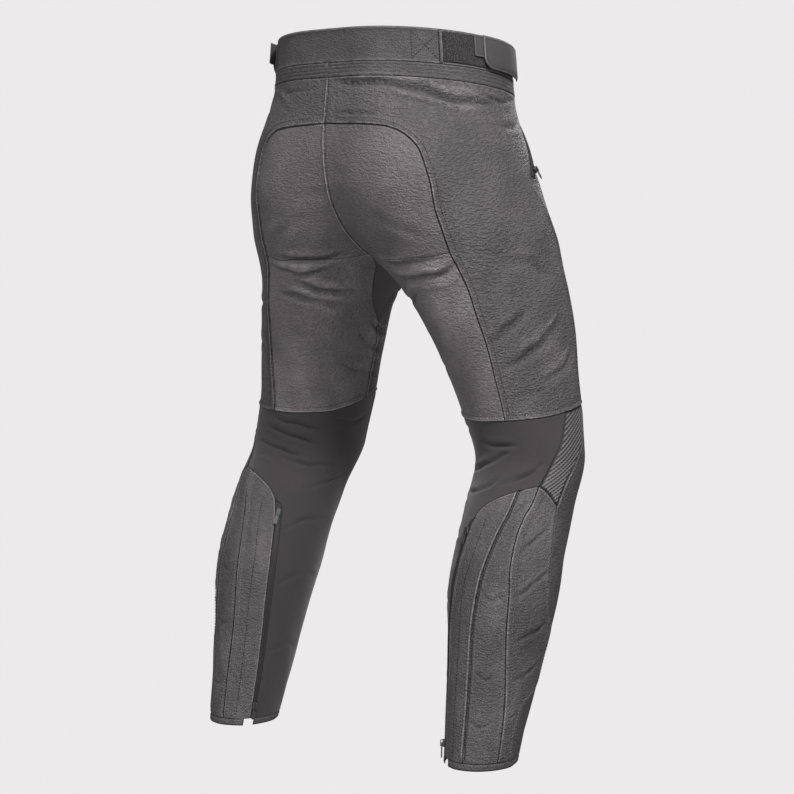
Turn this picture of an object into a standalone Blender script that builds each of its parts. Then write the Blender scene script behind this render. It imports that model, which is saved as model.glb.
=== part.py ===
"""Leather riding pants, filled out as if worn, with nobody inside them.

The waistband's top is at Z = 0 and the legs hang down to Z = -0.934. The front faces -Y,
and the wearer's left leg is on the +X side. Sizes are in metres.

Every cloth piece is cut from one body form. A place on the form is a side (+1 left, -1 right),
a turn round the leg (0 inseam, 0.25 front, 0.5 outer side, 0.75 back, 1 inseam again) and a
height Z. Above the crotch the two leg forms meet on the plane X = 0.
"""
import math
from collections import namedtuple
from types import SimpleNamespace

import bmesh
import bpy
from mathutils import Matrix, Vector
from mathutils.geometry import delaunay_2d_cdt

# Walls and gaps
LEATHER = 0.0016
KNIT = 0.0013
SEAM_GAP = 0.0003
LAY_GAP = 0.0005
PATCH = 0.0014
FLAP = 0.0026
TAPE = 0.0012

# Heights of the level seams
WAIST_Z = 0.0
BAND_Z = -0.044
RIDGE_Z = -0.063
CROTCH_Z = -0.302
HEM_TOP_Z = -0.925
HEM_Z = -0.934

# Tilt of the waist: rise to the wearer's left and drop to the front, fading out by TILT_END.
# Near the top it is less by up to TILT_EASE, which is gone by EASE_END.
TILT_SIDE = 0.05
TILT_FRONT = 0.09
TILT_BACK_Y = 0.136
TILT_END = 0.30
TILT_EASE = 0.5
EASE_END = 0.12

# Spacing of the points in a cut piece, and the flat width of one whole turn
STEP = 0.027
LAY_STEP = 0.012
GUSSET_STEP = 0.008
TURN = 0.50

# Accordion ribs beside the knee
RIB_PITCH = 0.0045
RIB_RISE = 0.0016
RIB_SLOPE = -0.62
RIB_STEP = 0.012

# Zip sliders and pull tabs
SLIDER = SimpleNamespace(width=0.007, length=0.010, height=0.0024)
BRIDGE = SimpleNamespace(width=0.0012, length=0.0084, rise=0.0032, window=0.0022, post=0.0010)
PULL = SimpleNamespace(width=0.0050, length=0.0190, thick=0.0012, hole=0.0026, reach=0.0062)
CALF_ZIP_TURNS = 0.018
TOP_SLIDER_Z = -0.6430
LOW_SLIDER_Z = -0.9080
POCKET_LEAN = math.radians(-48)
SNAP_RADIUS = 0.0075
SNAP_HEIGHT = 0.0030
SNAP_Z = -0.0220
SNAP_TURN = 0.014
ADJUSTER_PULL = 0.055

# The body form: centre of the leg, reach outward, inward, to the front and to the back,
# a lean of the section and a turn of the cloth round the leg
Section = namedtuple("Section", "name z cx cy out inn front back skew twist")
SECTIONS = (
    Section("top",      0.000, 0.030,  0.000, 0.129, 0.250, 0.138, 0.137, 0.00, 0.000),
    Section("band",    -0.046, 0.032,  0.000, 0.131, 0.246, 0.140, 0.139, 0.00, 0.000),
    Section("ridges",  -0.068, 0.034,  0.000, 0.131, 0.243, 0.141, 0.140, 0.00, 0.004),
    Section("yoke",    -0.130, 0.055,  0.000, 0.130, 0.250, 0.143, 0.149, 0.00, 0.022),
    Section("seat",    -0.200, 0.084, -0.004, 0.119, 0.210, 0.138, 0.154, 0.05, 0.032),
    Section("low",     -0.255, 0.102, -0.010, 0.114, 0.150, 0.131, 0.146, 0.12, 0.036),
    Section("crotch",  -0.302, 0.115, -0.016, 0.108, 0.115, 0.118, 0.126, 0.18, 0.028),
    Section("fork",    -0.325, 0.125, -0.021, 0.104, 0.100, 0.107, 0.117, 0.20, 0.020),
    Section("thigh1",  -0.360, 0.138, -0.028, 0.098, 0.088, 0.101, 0.108, 0.18, 0.014),
    Section("thigh2",  -0.430, 0.161, -0.042, 0.085, 0.085, 0.090, 0.093, 0.05, 0.012),
    Section("knee1",   -0.500, 0.179, -0.049, 0.076, 0.080, 0.083, 0.083, -0.04, 0.017),
    Section("knee2",   -0.550, 0.189, -0.047, 0.074, 0.075, 0.082, 0.076, -0.12, 0.017),
    Section("shin1",   -0.620, 0.196, -0.013, 0.072, 0.072, 0.076, 0.079, -0.10, 0.018),
    Section("calf",    -0.700, 0.199,  0.021, 0.072, 0.071, 0.074, 0.080, -0.04, 0.019),
    Section("ankle",   -0.820, 0.200,  0.052, 0.058, 0.057, 0.060, 0.066, 0.00, 0.019),
    Section("hem",     -0.934, 0.201,  0.083, 0.045, 0.045, 0.047, 0.051, 0.00, 0.019),
)

# Main folds: soft troughs (depth below 0) and ridges between two places, on one side or both (0)
Fold = namedtuple("Fold", "side u0 z0 u1 z1 width depth")
FOLDS = (
    Fold(0,  0.660, -0.312, 0.860, -0.318, 0.012, -0.0035),
    Fold(1,  0.700, -0.335, 0.900, -0.338, 0.013, -0.0040),
    Fold(1,  0.715, -0.296, 0.880, -0.303, 0.011, -0.0030),
    Fold(0,  0.470, -0.360, 0.570, -0.395, 0.014, -0.0022),
    Fold(0,  0.480, -0.330, 0.560, -0.350, 0.014, -0.0018),
    Fold(0,  0.640, -0.572, 0.800, -0.588, 0.010, -0.0025),
    Fold(0,  0.690, -0.528, 0.900, -0.540, 0.012, -0.0024),
    Fold(1,  0.700, -0.552, 0.920, -0.566, 0.011, -0.0026),
    Fold(0,  0.610, -0.086, 0.745, -0.079, 0.014, -0.0020),
)

# Seams in their own places on the form, (turn, height), from which the pieces are cut
SEAT_UPPER = ((0.745, -0.1250), (0.712, -0.1275), (0.686, -0.1380), (0.673, -0.1610),
              (0.672, -0.1950), (0.679, -0.2430), (0.678, -0.2890))
SEAT_LOWER = ((0.678, -0.2890), (0.671, -0.3310), (0.683, -0.3850), (0.700, -0.4280),
              (0.714, -0.4630), (0.727, -0.5035))
UNDER_SEAT = ((0.678, -0.2890), (0.720, -0.2950), (0.800, -0.2965), (0.880, -0.2920), (0.925, -0.2860))
KNEE_BACK_OUTER = ((0.550, -0.4930), (0.600, -0.4975), (0.660, -0.5010), (0.727, -0.5035))
KNEE_BACK_INNER = ((0.727, -0.5035), (0.800, -0.5055), (0.880, -0.5040), (0.960, -0.4930), (1.000, -0.4860))
KNEE_INSIDE = ((0.000, -0.4860), (0.040, -0.4800), (0.080, -0.4780))
KNEE_FRONT = ((0.080, -0.4780), (0.180, -0.4800), (0.300, -0.4830), (0.440, -0.4850))
KNEE_SIDE = ((0.440, -0.4850), (0.500, -0.4890), (0.550, -0.4930))
POCKET_SEAM = ((0.570, RIDGE_Z), (0.556, -0.0770), (0.538, -0.1050), (0.524, -0.1380),
               (0.508, -0.1700), (0.493, -0.1900))
POCKET_MOUTH = ((0.340, RIDGE_Z), (0.375, -0.0900), (0.420, -0.1260), (0.460, -0.1600), (0.493, -0.1900))
OUTER_SEAM = ((0.493, -0.1900), (0.455, -0.2400), (0.430, -0.3000), (0.420, -0.3700), (0.425, -0.4300),
              (0.440, -0.4850))
GUSSET_BACK = ((0.925, -0.2860), (0.945, -0.3150), (0.965, -0.3450), (1.000, -0.3800))
GUSSET_FRONT = ((0.000, -0.3800), (0.035, -0.3450), (0.055, -0.3150), (0.075, -0.2860))
INSEAM = ((0.0, -0.3800), (0.0, -0.4200), (0.0, -0.4550), (0.0, -0.4860))
RIB_BACK = ((0.550, -0.4930), (0.585, -0.5290), (0.624, -0.5570), (0.649, -0.5850))
RIB_LOW = ((0.649, -0.5850), (0.614, -0.5950), (0.574, -0.6110))
RIB_FRONT = ((0.440, -0.4850), (0.458, -0.5100), (0.480, -0.5320), (0.524, -0.5560), (0.560, -0.5820),
             (0.574, -0.6110))
ARCH = ((0.649, -0.5850), (0.705, -0.5900), (0.757, -0.6010), (0.792, -0.6120), (0.814, -0.6240))
CALF_FABRIC = ((0.814, -0.6240), (0.828, -0.6430), (0.841, -0.6740), (0.850, -0.7100), (0.857, -0.7700), (0.865, -0.8200),
               (0.873, -0.8750), (0.878, HEM_TOP_Z))
STRIP_OUTER = ((0.705, -0.5900), (0.711, -0.6130), (0.728, -0.6390), (0.739, -0.6650), (0.748, -0.6950),
               (0.753, -0.7300), (0.755, -0.7700), (0.753, -0.8200), (0.751, -0.8750), (0.748, HEM_TOP_Z))
CALF_SEAM = ((0.649, -0.5850), (0.654, -0.6060), (0.669, -0.6250), (0.676, -0.6510), (0.674, -0.6765),
             (0.660, -0.7210), (0.654, -0.7510), (0.640, -0.7935), (0.618, -0.8474), (0.600, HEM_TOP_Z))
SHIN_SEAM = ((0.574, -0.6110), (0.568, -0.6400), (0.556, -0.6700), (0.543, -0.7050), (0.515, -0.7400),
             (0.450, -0.7700), (0.415, -0.8020), (0.428, -0.8300), (0.480, -0.8460), (0.535, -0.8600),
             (0.542, -0.8850), (0.530, HEM_TOP_Z))
SHIN_INSIDE = ((0.080, -0.4780), (0.092, -0.5300), (0.100, -0.6000), (0.104, -0.7000), (0.108, -0.8000),
               (0.112, HEM_TOP_Z))

COLOURS = {
    "seat_leather": (0.150, 0.140, 0.144, 0.48, 0.0),
    "side_leather": (0.115, 0.108, 0.112, 0.46, 0.0),
    "dark_leather": (0.085, 0.080, 0.083, 0.50, 0.0),
    "stretch_fabric": (0.045, 0.040, 0.044, 0.85, 0.0),
    "hook_patch": (0.055, 0.052, 0.054, 0.90, 0.0),
    "zip_tape": (0.035, 0.034, 0.036, 0.80, 0.0),
    "gunmetal": (0.300, 0.295, 0.290, 0.32, 1.0),
}


def monotone_slopes(xs, ys):
    """Slopes of a cubic through the points that never overshoots them."""
    rises = [(y1 - y0) / (x1 - x0) for x0, x1, y0, y1 in zip(xs, xs[1:], ys, ys[1:])]
    slopes = [rises[0]]
    for k in range(1, len(xs) - 1):
        before, after = rises[k - 1], rises[k]
        if before * after <= 0:
            slopes.append(0.0)
            continue
        width_before, width_after = xs[k] - xs[k - 1], xs[k + 1] - xs[k]
        w1 = 2 * width_after + width_before
        w2 = width_after + 2 * width_before
        slopes.append((w1 + w2) / (w1 / before + w2 / after))
    slopes.append(rises[-1])
    return slopes


DEPTHS = [-row.z for row in SECTIONS]
CURVES = {
    field: ([getattr(row, field) for row in SECTIONS],
            monotone_slopes(DEPTHS, [getattr(row, field) for row in SECTIONS]))
    for field in Section._fields[2:]
}


def section_at(z):
    """The body form's sizes at height z."""
    depth = min(max(-z, DEPTHS[0]), DEPTHS[-1])
    k = 0
    while k < len(DEPTHS) - 2 and depth > DEPTHS[k + 1]:
        k += 1
    width = DEPTHS[k + 1] - DEPTHS[k]
    s = (depth - DEPTHS[k]) / width
    weights = (2 * s**3 - 3 * s**2 + 1, (s**3 - 2 * s**2 + s) * width,
               -2 * s**3 + 3 * s**2, (s**3 - s**2) * width)
    found = {}
    for field, (values, slopes) in CURVES.items():
        terms = (values[k], slopes[k], values[k + 1], slopes[k + 1])
        found[field] = sum(weight * term for weight, term in zip(weights, terms))
    return SimpleNamespace(**found)


def plane_turn(z):
    """The turn at which the form meets the plane X = 0, or 0 below the crotch."""
    if z <= CROTCH_Z:
        return 0.0
    row = section_at(z)
    return math.acos(min(1.0, row.cx / row.inn)) / (2 * math.pi)


def smooth_step(t):
    t = min(max(t, 0.0), 1.0)
    return t * t * (3 - 2 * t)


def body_point(side, turn, z):
    """A point of the plain body form, with no folds."""
    row = section_at(z)
    edge = plane_turn(z)
    turn = min(max(turn, edge), 1 - edge) if edge else turn
    bump = math.sin(math.pi * (turn - edge) / (1 - 2 * edge))
    below = smooth_step((CROTCH_Z - z) / 0.08)
    shift = side * row.twist * (below + (1 - below) * max(bump, 0.0))
    c = math.cos(2 * math.pi * (turn + shift))
    s = math.sin(2 * math.pi * (turn + shift))
    x = row.cx - (row.inn if c > 0 else row.out) * c
    y = row.cy - (row.front if s > 0 else row.back) * s
    x -= row.skew * (y - row.cy) * x / (row.cx + row.out)
    tilt = max(0.0, 1 + z / TILT_END) - TILT_EASE * max(0.0, 1 + z / EASE_END)
    lift = tilt * (TILT_SIDE * side * x + TILT_FRONT * (y - TILT_BACK_Y))
    return Vector((side * max(x, 0.0), y, z + lift))


def body_normal(side, turn, z):
    """The outward direction of the body form."""
    edge = plane_turn(z)
    u0, u1 = turn - 0.004, turn + 0.004
    if edge:
        u0, u1 = max(u0, edge), min(u1, 1 - edge)
    z0, z1 = max(z - 0.004, HEM_Z), min(z + 0.004, WAIST_Z)
    across = body_point(side, u1, z) - body_point(side, u0, z)
    inside = min(max(turn, 0.004 + plane_turn(z0)), 0.996 - plane_turn(z0)) if edge else turn
    down = body_point(side, inside, z0) - body_point(side, inside, z1)
    return (down.cross(across) * side).normalized()


def flat(place):
    """A place on the form as a point of the flat cutting plan."""
    return Vector((place[0] * TURN, place[1]))


def fold_depth(side, turn, z):
    """How far the folds move the cloth out (above 0) or in."""
    total = 0.0
    at = flat((turn, z))
    for fold in FOLDS:
        if fold.side not in (0, side):
            continue
        start, end = flat((fold.u0, fold.z0)), flat((fold.u1, fold.z1))
        run = end - start
        t = (at - start).dot(run) / run.length_squared
        if not 0 < t < 1:
            continue
        off = (at - start - run * t).length / fold.width
        total += fold.depth * math.exp(-off * off) * math.sin(math.pi * t)
    return total


def skin(side, turn, z, lift=0.0):
    """A point of the outer cloth, or one moved out from it by lift."""
    return body_point(side, turn, z) + body_normal(side, turn, z) * (lift + fold_depth(side, turn, z))


def sample(seam, spacing=STEP):
    """Points along a smooth curve through a seam's places, both ends included."""
    places = [flat(place) for place in seam]
    lengths = [0.0]
    for a, b in zip(places, places[1:]):
        lengths.append(lengths[-1] + (b - a).length)
    count = max(2, round(lengths[-1] / spacing))
    xs = monotone_slopes(lengths, [p.x for p in places]), [p.x for p in places]
    ys = monotone_slopes(lengths, [p.y for p in places]), [p.y for p in places]
    points = []
    for i in range(count + 1):
        at = lengths[-1] * i / count
        k = 0
        while k < len(lengths) - 2 and at > lengths[k + 1]:
            k += 1
        width = lengths[k + 1] - lengths[k]
        s = (at - lengths[k]) / width
        pair = []
        for slopes, values in (xs, ys):
            pair.append(values[k] * (2 * s**3 - 3 * s**2 + 1) + slopes[k] * width * (s**3 - 2 * s**2 + s)
                        + values[k + 1] * (3 * s**2 - 2 * s**3) + slopes[k + 1] * width * (s**3 - s**2))
        points.append((pair[0] / TURN, pair[1]))
    return points


def level(u0, u1, z, spacing=STEP):
    """Points along a level seam between two turns."""
    count = max(1, round(abs(u1 - u0) * TURN / spacing))
    return [(u0 + (u1 - u0) * i / count, z) for i in range(count + 1)]


def middle(z0, z1, back, spacing=STEP):
    """Points where the form meets the plane X = 0, at the back or the front."""
    count = max(1, round(abs(z1 - z0) / spacing))
    heights = [z0 + (z1 - z0) * i / count for i in range(count + 1)]
    return [(1 - plane_turn(z) if back else plane_turn(z), z) for z in heights]


def join(*runs):
    """One closed outline from runs that each start where the last one ends."""
    outline = []
    for run in runs:
        for place in run:
            if not outline or (flat(place) - flat(outline[-1])).length > 1e-6:
                outline.append(place)
    if (flat(outline[0]) - flat(outline[-1])).length < 1e-6:
        outline.pop()
    return outline


def back_to_front(run):
    return list(reversed(run))


def inset(points, distance, keep):
    """The outline moved in by a distance, apart from stretches that are kept on the plane X = 0."""
    area = sum(a.x * b.y - b.x * a.y for a, b in zip(points, points[1:] + points[:1])) / 2
    turn = 1 if area > 0 else -1
    moved = []
    count = len(points)
    for i, p in enumerate(points):
        before, after = (p - points[i - 1]).normalized(), (points[(i + 1) % count] - p).normalized()
        inward = [Vector((-d.y, d.x)) * turn for d in (before, after)]
        if keep[i]:
            if keep[i - 1] and keep[(i + 1) % count]:
                moved.append(p.copy())
                continue
            along = after if keep[(i + 1) % count] else -before
            moved.append(p + along * distance)
            continue
        corner = inward[0] + inward[1]
        scale = max(corner.length_squared / 2, 0.35)
        moved.append(p + corner * (distance / scale))
    return moved


def inside_outline(point, outline, margin):
    """Whether a point lies in the outline, clear of its edge by a margin."""
    crossings = False
    for a, b in zip(outline, outline[1:] + outline[:1]):
        if (a.y > point.y) != (b.y > point.y):
            if point.x < a.x + (point.y - a.y) * (b.x - a.x) / (b.y - a.y):
                crossings = not crossings
        run = b - a
        t = min(max((point - a).dot(run) / run.length_squared, 0), 1)
        if (point - a - run * t).length < margin:
            return False
    return crossings


def grid_places(outline, spacing):
    """Staggered places inside a flat outline."""
    low_x, high_x = min(p.x for p in outline), max(p.x for p in outline)
    low_y, high_y = min(p.y for p in outline), max(p.y for p in outline)
    found = []
    for row in range(math.floor(low_y / spacing), math.ceil(high_y / spacing) + 1):
        offset = 0.5 if row % 2 else 0.0
        for column in range(math.floor(low_x / spacing) - 1, math.ceil(high_x / spacing) + 1):
            point = Vector(((column + offset) * spacing, row * spacing))
            if inside_outline(point, outline, spacing * 0.45):
                found.append(point)
    return found


def rib_phase(point):
    return (point.y - point.x * RIB_SLOPE) / (RIB_PITCH * math.hypot(1, RIB_SLOPE))


def rib_lines(outline):
    """Places on the crest and the valley of every rib inside the outline, as runs."""
    phases = [rib_phase(p) for p in outline]
    low_x, high_x = min(p.x for p in outline), max(p.x for p in outline)
    runs = []
    for half in range(math.floor(min(phases) * 2), math.ceil(max(phases) * 2) + 1):
        run = []
        count = math.ceil((high_x - low_x) / RIB_STEP)
        for i in range(count + 1):
            x = low_x + (high_x - low_x) * (i + 0.5 * (half % 2)) / count
            point = Vector((x, half / 2 * RIB_PITCH * math.hypot(1, RIB_SLOPE) + x * RIB_SLOPE))
            if inside_outline(point, outline, RIB_PITCH * 0.42):
                run.append(point)
        runs.append(run)
    return runs


def meets_plane(turn, z):
    """Whether a place lies where the form meets the plane X = 0."""
    edge = plane_turn(z)
    return z > CROTCH_Z - 1e-6 and min(abs(turn - mark) for mark in (edge, 1 - edge, 1 + edge)) < 1e-5


def half_point(side, turn, z, lift, on_plane):
    """A cloth point that stays on its own half, or lies on the plane between the halves."""
    turn = turn - 1 if turn > 1 else turn
    point = skin(side, turn, z, lift)
    if on_plane:
        twin = skin(-side, turn, z, lift)
        return Vector((0, (point.y + twin.y) / 2, (point.z + twin.z) / 2))
    point.x = side * max(point.x * side, SEAM_GAP / 2)
    return point


def triangulated(points, ties, outline):
    """Triangles over flat points, inside the outline that the points start with."""
    plan = delaunay_2d_cdt(points, ties, [list(range(len(outline)))], 1, 1e-7, True)
    places, sources = plan[0], plan[3]
    faces = [face for face in plan[2]
             if inside_outline(sum((places[i] for i in face), Vector((0, 0))) / 3, outline, 0)]
    return places, faces, sources


def cut_piece(mesh, side, outline, wall, lift=0.0, spacing=STEP, crosses=False, ribs=False):
    """Add a closed piece of cloth to a bmesh, or one open where it crosses the plane X = 0."""
    points = [flat(place) for place in outline]
    on_plane = [crosses and meets_plane(*place) for place in outline]
    edge = inset(points, SEAM_GAP * 0.62, on_plane)
    runs = rib_lines(edge) if ribs else [[p] for p in grid_places(edge, spacing)]
    count = len(edge)
    everything = edge + [p for run in runs for p in run]
    ties = []
    first = count
    for run in runs:
        ties += [(first + i, first + i + 1) for i in range(len(run) - 1)]
        first += len(run)
    places, faces, sources = triangulated(everything, ties, edge)
    rim = {original: index for index, source in enumerate(sources) for original in source}
    kept = {rim[i] for i in range(count) if on_plane[i]}
    outer, inner = [], []
    for index, point in enumerate(places):
        turn, z = point.x / TURN, point.y
        rise = 0.0
        if ribs and inside_outline(point, edge, RIB_PITCH * 0.2):
            rise = RIB_RISE * (0.5 + 0.5 * math.cos(2 * math.pi * rib_phase(point)))
        for group, out in ((outer, lift + rise), (inner, lift - wall)):
            group.append(mesh.verts.new(half_point(side, turn, z, out, index in kept)))
    for face in faces:
        mesh.faces.new([outer[i] for i in face])
        mesh.faces.new([inner[i] for i in reversed(face)])
    for i in range(count):
        j = (i + 1) % count
        if on_plane[i] and on_plane[j]:
            continue
        a, b = rim[i], rim[j]
        mesh.faces.new((outer[a], inner[a], inner[b], outer[b]))


def material(name):
    found = bpy.data.materials.get(name)
    if found:
        return found
    red, green, blue, roughness, metallic = COLOURS[name]
    made = bpy.data.materials.new(name)
    made.use_nodes = True
    shader = made.node_tree.nodes["Principled BSDF"]
    shader.inputs["Base Color"].default_value = (red, green, blue, 1)
    shader.inputs["Roughness"].default_value = roughness
    shader.inputs["Metallic"].default_value = metallic
    made.diffuse_color = (red, green, blue, 1)
    return made


def add_object(name, data, colour, collection):
    made = bpy.data.objects.new(name, data)
    if not data.materials:
        data.materials.append(material(colour))
    collection.objects.link(made)
    return made


def finish_cloth(name, mesh, colour, collection):
    """Turn a bmesh into a named cloth object."""
    bmesh.ops.remove_doubles(mesh, verts=mesh.verts, dist=1e-6)
    bmesh.ops.recalc_face_normals(mesh, faces=mesh.faces)
    data = bpy.data.meshes.new(name)
    mesh.to_mesh(data)
    mesh.free()
    data.shade_smooth()
    data.set_sharp_from_angle(angle=math.radians(50))
    return add_object(name, data, colour, collection)


def cloth(name, side, outline, wall, colour, collection, **options):
    mesh = bmesh.new()
    cut_piece(mesh, side, outline, wall, **options)
    return finish_cloth(name, mesh, colour, collection)


def crossing_cloth(name, outlines, wall, colour, collection, **options):
    """A piece that runs across the plane X = 0, from an outline for each side."""
    mesh = bmesh.new()
    for side, outline in outlines.items():
        cut_piece(mesh, side, outline, wall, crosses=True, **options)
    return finish_cloth(name, mesh, colour, collection)


def rectangle(u0, u1, z0, z1, spacing=LAY_STEP):
    """A straight-sided outline, for what lies on a panel."""
    upright = max(1, round(abs(z1 - z0) / spacing))
    right = [(u1, z0 + (z1 - z0) * i / upright) for i in range(upright + 1)]
    left = [(u0, z1 + (z0 - z1) * i / upright) for i in range(upright + 1)]
    return join(level(u0, u1, z0, spacing), right, level(u1, u0, z1, spacing), left)


def panel_outlines():
    """The outline of each cloth panel of one leg, from the seams it shares with its neighbours."""
    seams = {name: sample(run) for name, run in {
        "seat_upper": SEAT_UPPER, "seat_lower": SEAT_LOWER, "under_seat": UNDER_SEAT,
        "knee_back_outer": KNEE_BACK_OUTER, "knee_back_inner": KNEE_BACK_INNER, "knee_inside": KNEE_INSIDE,
        "knee_front": KNEE_FRONT, "knee_side": KNEE_SIDE, "pocket_seam": POCKET_SEAM,
        "pocket_mouth": POCKET_MOUTH, "outer_seam": OUTER_SEAM, "gusset_back": GUSSET_BACK,
        "gusset_front": GUSSET_FRONT, "inseam": INSEAM, "rib_back": RIB_BACK, "rib_low": RIB_LOW,
        "rib_front": RIB_FRONT, "calf_fabric": CALF_FABRIC, "strip_outer": STRIP_OUTER,
        "calf_seam": CALF_SEAM, "shin_seam": SHIN_SEAM, "shin_inside": SHIN_INSIDE}.items()}
    run = SimpleNamespace(**seams)
    rev = back_to_front
    # The arch is shared by two leather pieces, and its inner end by the strip
    arch_outer = sample(ARCH[:2])
    arch_inner = sample(ARCH[1:])
    yoke_middle = middle(RIDGE_Z, SEAT_UPPER[0][1] + 0.0025, True)
    yoke_seam = sample(((yoke_middle[-1]), SEAT_UPPER[0]))
    seat_middle = middle(yoke_middle[-1][1], UNDER_SEAT[-1][1], True)
    under_seat = run.under_seat[:-1] + [seat_middle[-1]]
    gusset_back = [seat_middle[-1]] + run.gusset_back[1:]
    front_middle = middle(RIDGE_Z, UNDER_SEAT[-1][1], False)
    gusset_front = run.gusset_front[:-1] + [front_middle[-1]]
    ridge = {"front": level(plane_turn(RIDGE_Z), POCKET_MOUTH[0][0], RIDGE_Z),
             "pocket": level(POCKET_MOUTH[0][0], POCKET_SEAM[0][0], RIDGE_Z),
             "back": level(POCKET_SEAM[0][0], 1 - plane_turn(RIDGE_Z), RIDGE_Z)}
    hem = {name: level(u0, u1, HEM_TOP_Z) for name, u0, u1 in (
        ("shin", SHIN_INSIDE[-1][0], SHIN_SEAM[-1][0]), ("outer", SHIN_SEAM[-1][0], CALF_SEAM[-1][0]),
        ("back", CALF_SEAM[-1][0], STRIP_OUTER[-1][0]),
        ("strip", STRIP_OUTER[-1][0], CALF_FABRIC[-1][0]),
        ("zip", CALF_FABRIC[-1][0], CALF_FABRIC[-1][0] + CALF_ZIP_TURNS),
        ("fabric", CALF_FABRIC[-1][0] + CALF_ZIP_TURNS, 1 + SHIN_INSIDE[-1][0]))}
    # The zip runs beside the strip, and the fabric starts on its other side
    zip_far = [(u + CALF_ZIP_TURNS * smooth_step((ARCH[-1][1] - z) / 0.010), z) for u, z in run.calf_fabric]
    past_inseam = [(u + 1, z) for u, z in rev(run.shin_inside)]
    knee_inside = [(u + 1, z) for u, z in run.knee_inside]
    return {
        "yoke_thigh": join(ridge["back"], yoke_middle, yoke_seam, run.seat_upper, run.seat_lower,
                           rev(run.knee_back_outer), rev(run.knee_side), rev(run.outer_seam),
                           rev(run.pocket_seam)),
        "seat": join(seat_middle, rev(under_seat), rev(run.seat_upper), rev(yoke_seam)),
        "back_thigh": join(under_seat, gusset_back, [(u + 1, z) for u, z in run.inseam],
                           rev(run.knee_back_inner), rev(run.seat_lower)),
        "front_thigh": join(ridge["front"], run.pocket_mouth, run.outer_seam, rev(run.knee_front),
                            rev(run.knee_inside), rev(run.inseam), gusset_front, rev(front_middle)),
        "pocket": join(ridge["pocket"], run.pocket_seam, rev(run.pocket_mouth)),
        "gusset": (gusset_back, gusset_front),
        "knee_fabric": join(run.knee_back_outer, run.knee_back_inner, knee_inside, rev(past_inseam),
                            rev(hem["fabric"]), rev(zip_far), rev(arch_inner), rev(arch_outer),
                            rev(run.rib_back)),
        "knee_ribs": join(run.knee_side, run.rib_back, run.rib_low, rev(run.rib_front)),
        "shin": join(run.knee_front, run.rib_front, run.shin_seam, rev(hem["shin"]), rev(run.shin_inside)),
        "calf_outer": join(run.rib_low, run.shin_seam, hem["outer"], rev(run.calf_seam)),
        "calf_back": join(run.calf_seam, hem["back"], rev(run.strip_outer), rev(arch_outer)),
        "calf_strip": join(arch_inner, run.calf_fabric, rev(hem["strip"]), rev(run.strip_outer)),
        "calf_zip": join(run.calf_fabric, hem["zip"], rev(zip_far)),
        "hem": join(level(CALF_FABRIC[-1][0] + CALF_ZIP_TURNS, 1 + SHIN_INSIDE[-1][0], HEM_TOP_Z),
                    [(u + 1, z) for u, z in hem["shin"]], [(u + 1, z) for u, z in hem["outer"]],
                    [(u + 1, z) for u, z in hem["back"]], [(u + 1, z) for u, z in hem["strip"]],
                    level(1 + CALF_FABRIC[-1][0], CALF_FABRIC[-1][0] + CALF_ZIP_TURNS, HEM_Z)),
    }


def add_panels(collection):
    """The leather and fabric panels of both legs."""
    outlines = panel_outlines()
    plan = (("yoke_thigh", LEATHER, "side_leather"), ("seat", LEATHER, "seat_leather"),
            ("back_thigh", LEATHER, "seat_leather"), ("front_thigh", LEATHER, "side_leather"),
            ("pocket", LEATHER, "side_leather"), ("knee_fabric", KNIT, "stretch_fabric"),
            ("knee_ribs", LEATHER, "dark_leather"), ("shin", LEATHER, "dark_leather"),
            ("calf_outer", LEATHER, "dark_leather"), ("calf_back", LEATHER, "side_leather"),
            ("calf_strip", LEATHER, "side_leather"), ("calf_zip", TAPE, "zip_tape"),
            ("hem", LEATHER, "dark_leather"))
    for side, word in ((1, "left"), (-1, "right")):
        for name, wall, colour in plan:
            cloth(f"{name}_{word}", side, outlines[name], wall, colour, collection,
                  ribs=name == "knee_ribs")
    add_gusset(outlines["gusset"], collection)


def add_gusset(runs, collection):
    """The stretch diamond between the legs, one piece across the crotch."""
    back, front = runs
    top = back[0][1]
    back_middle = middle(CROTCH_Z, top, True, GUSSET_STEP)
    front_middle = middle(top, CROTCH_Z, False, GUSSET_STEP)
    outline = join(back, [(u + 1, z) for u, z in front], [(u + 1, z) for u, z in front_middle[:-1]],
                   [(1.0, CROTCH_Z)], back_middle[1:])
    crossing_cloth("gusset", {1: outline, -1: outline}, KNIT, "stretch_fabric", collection,
                   spacing=2 * GUSSET_STEP)


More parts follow.
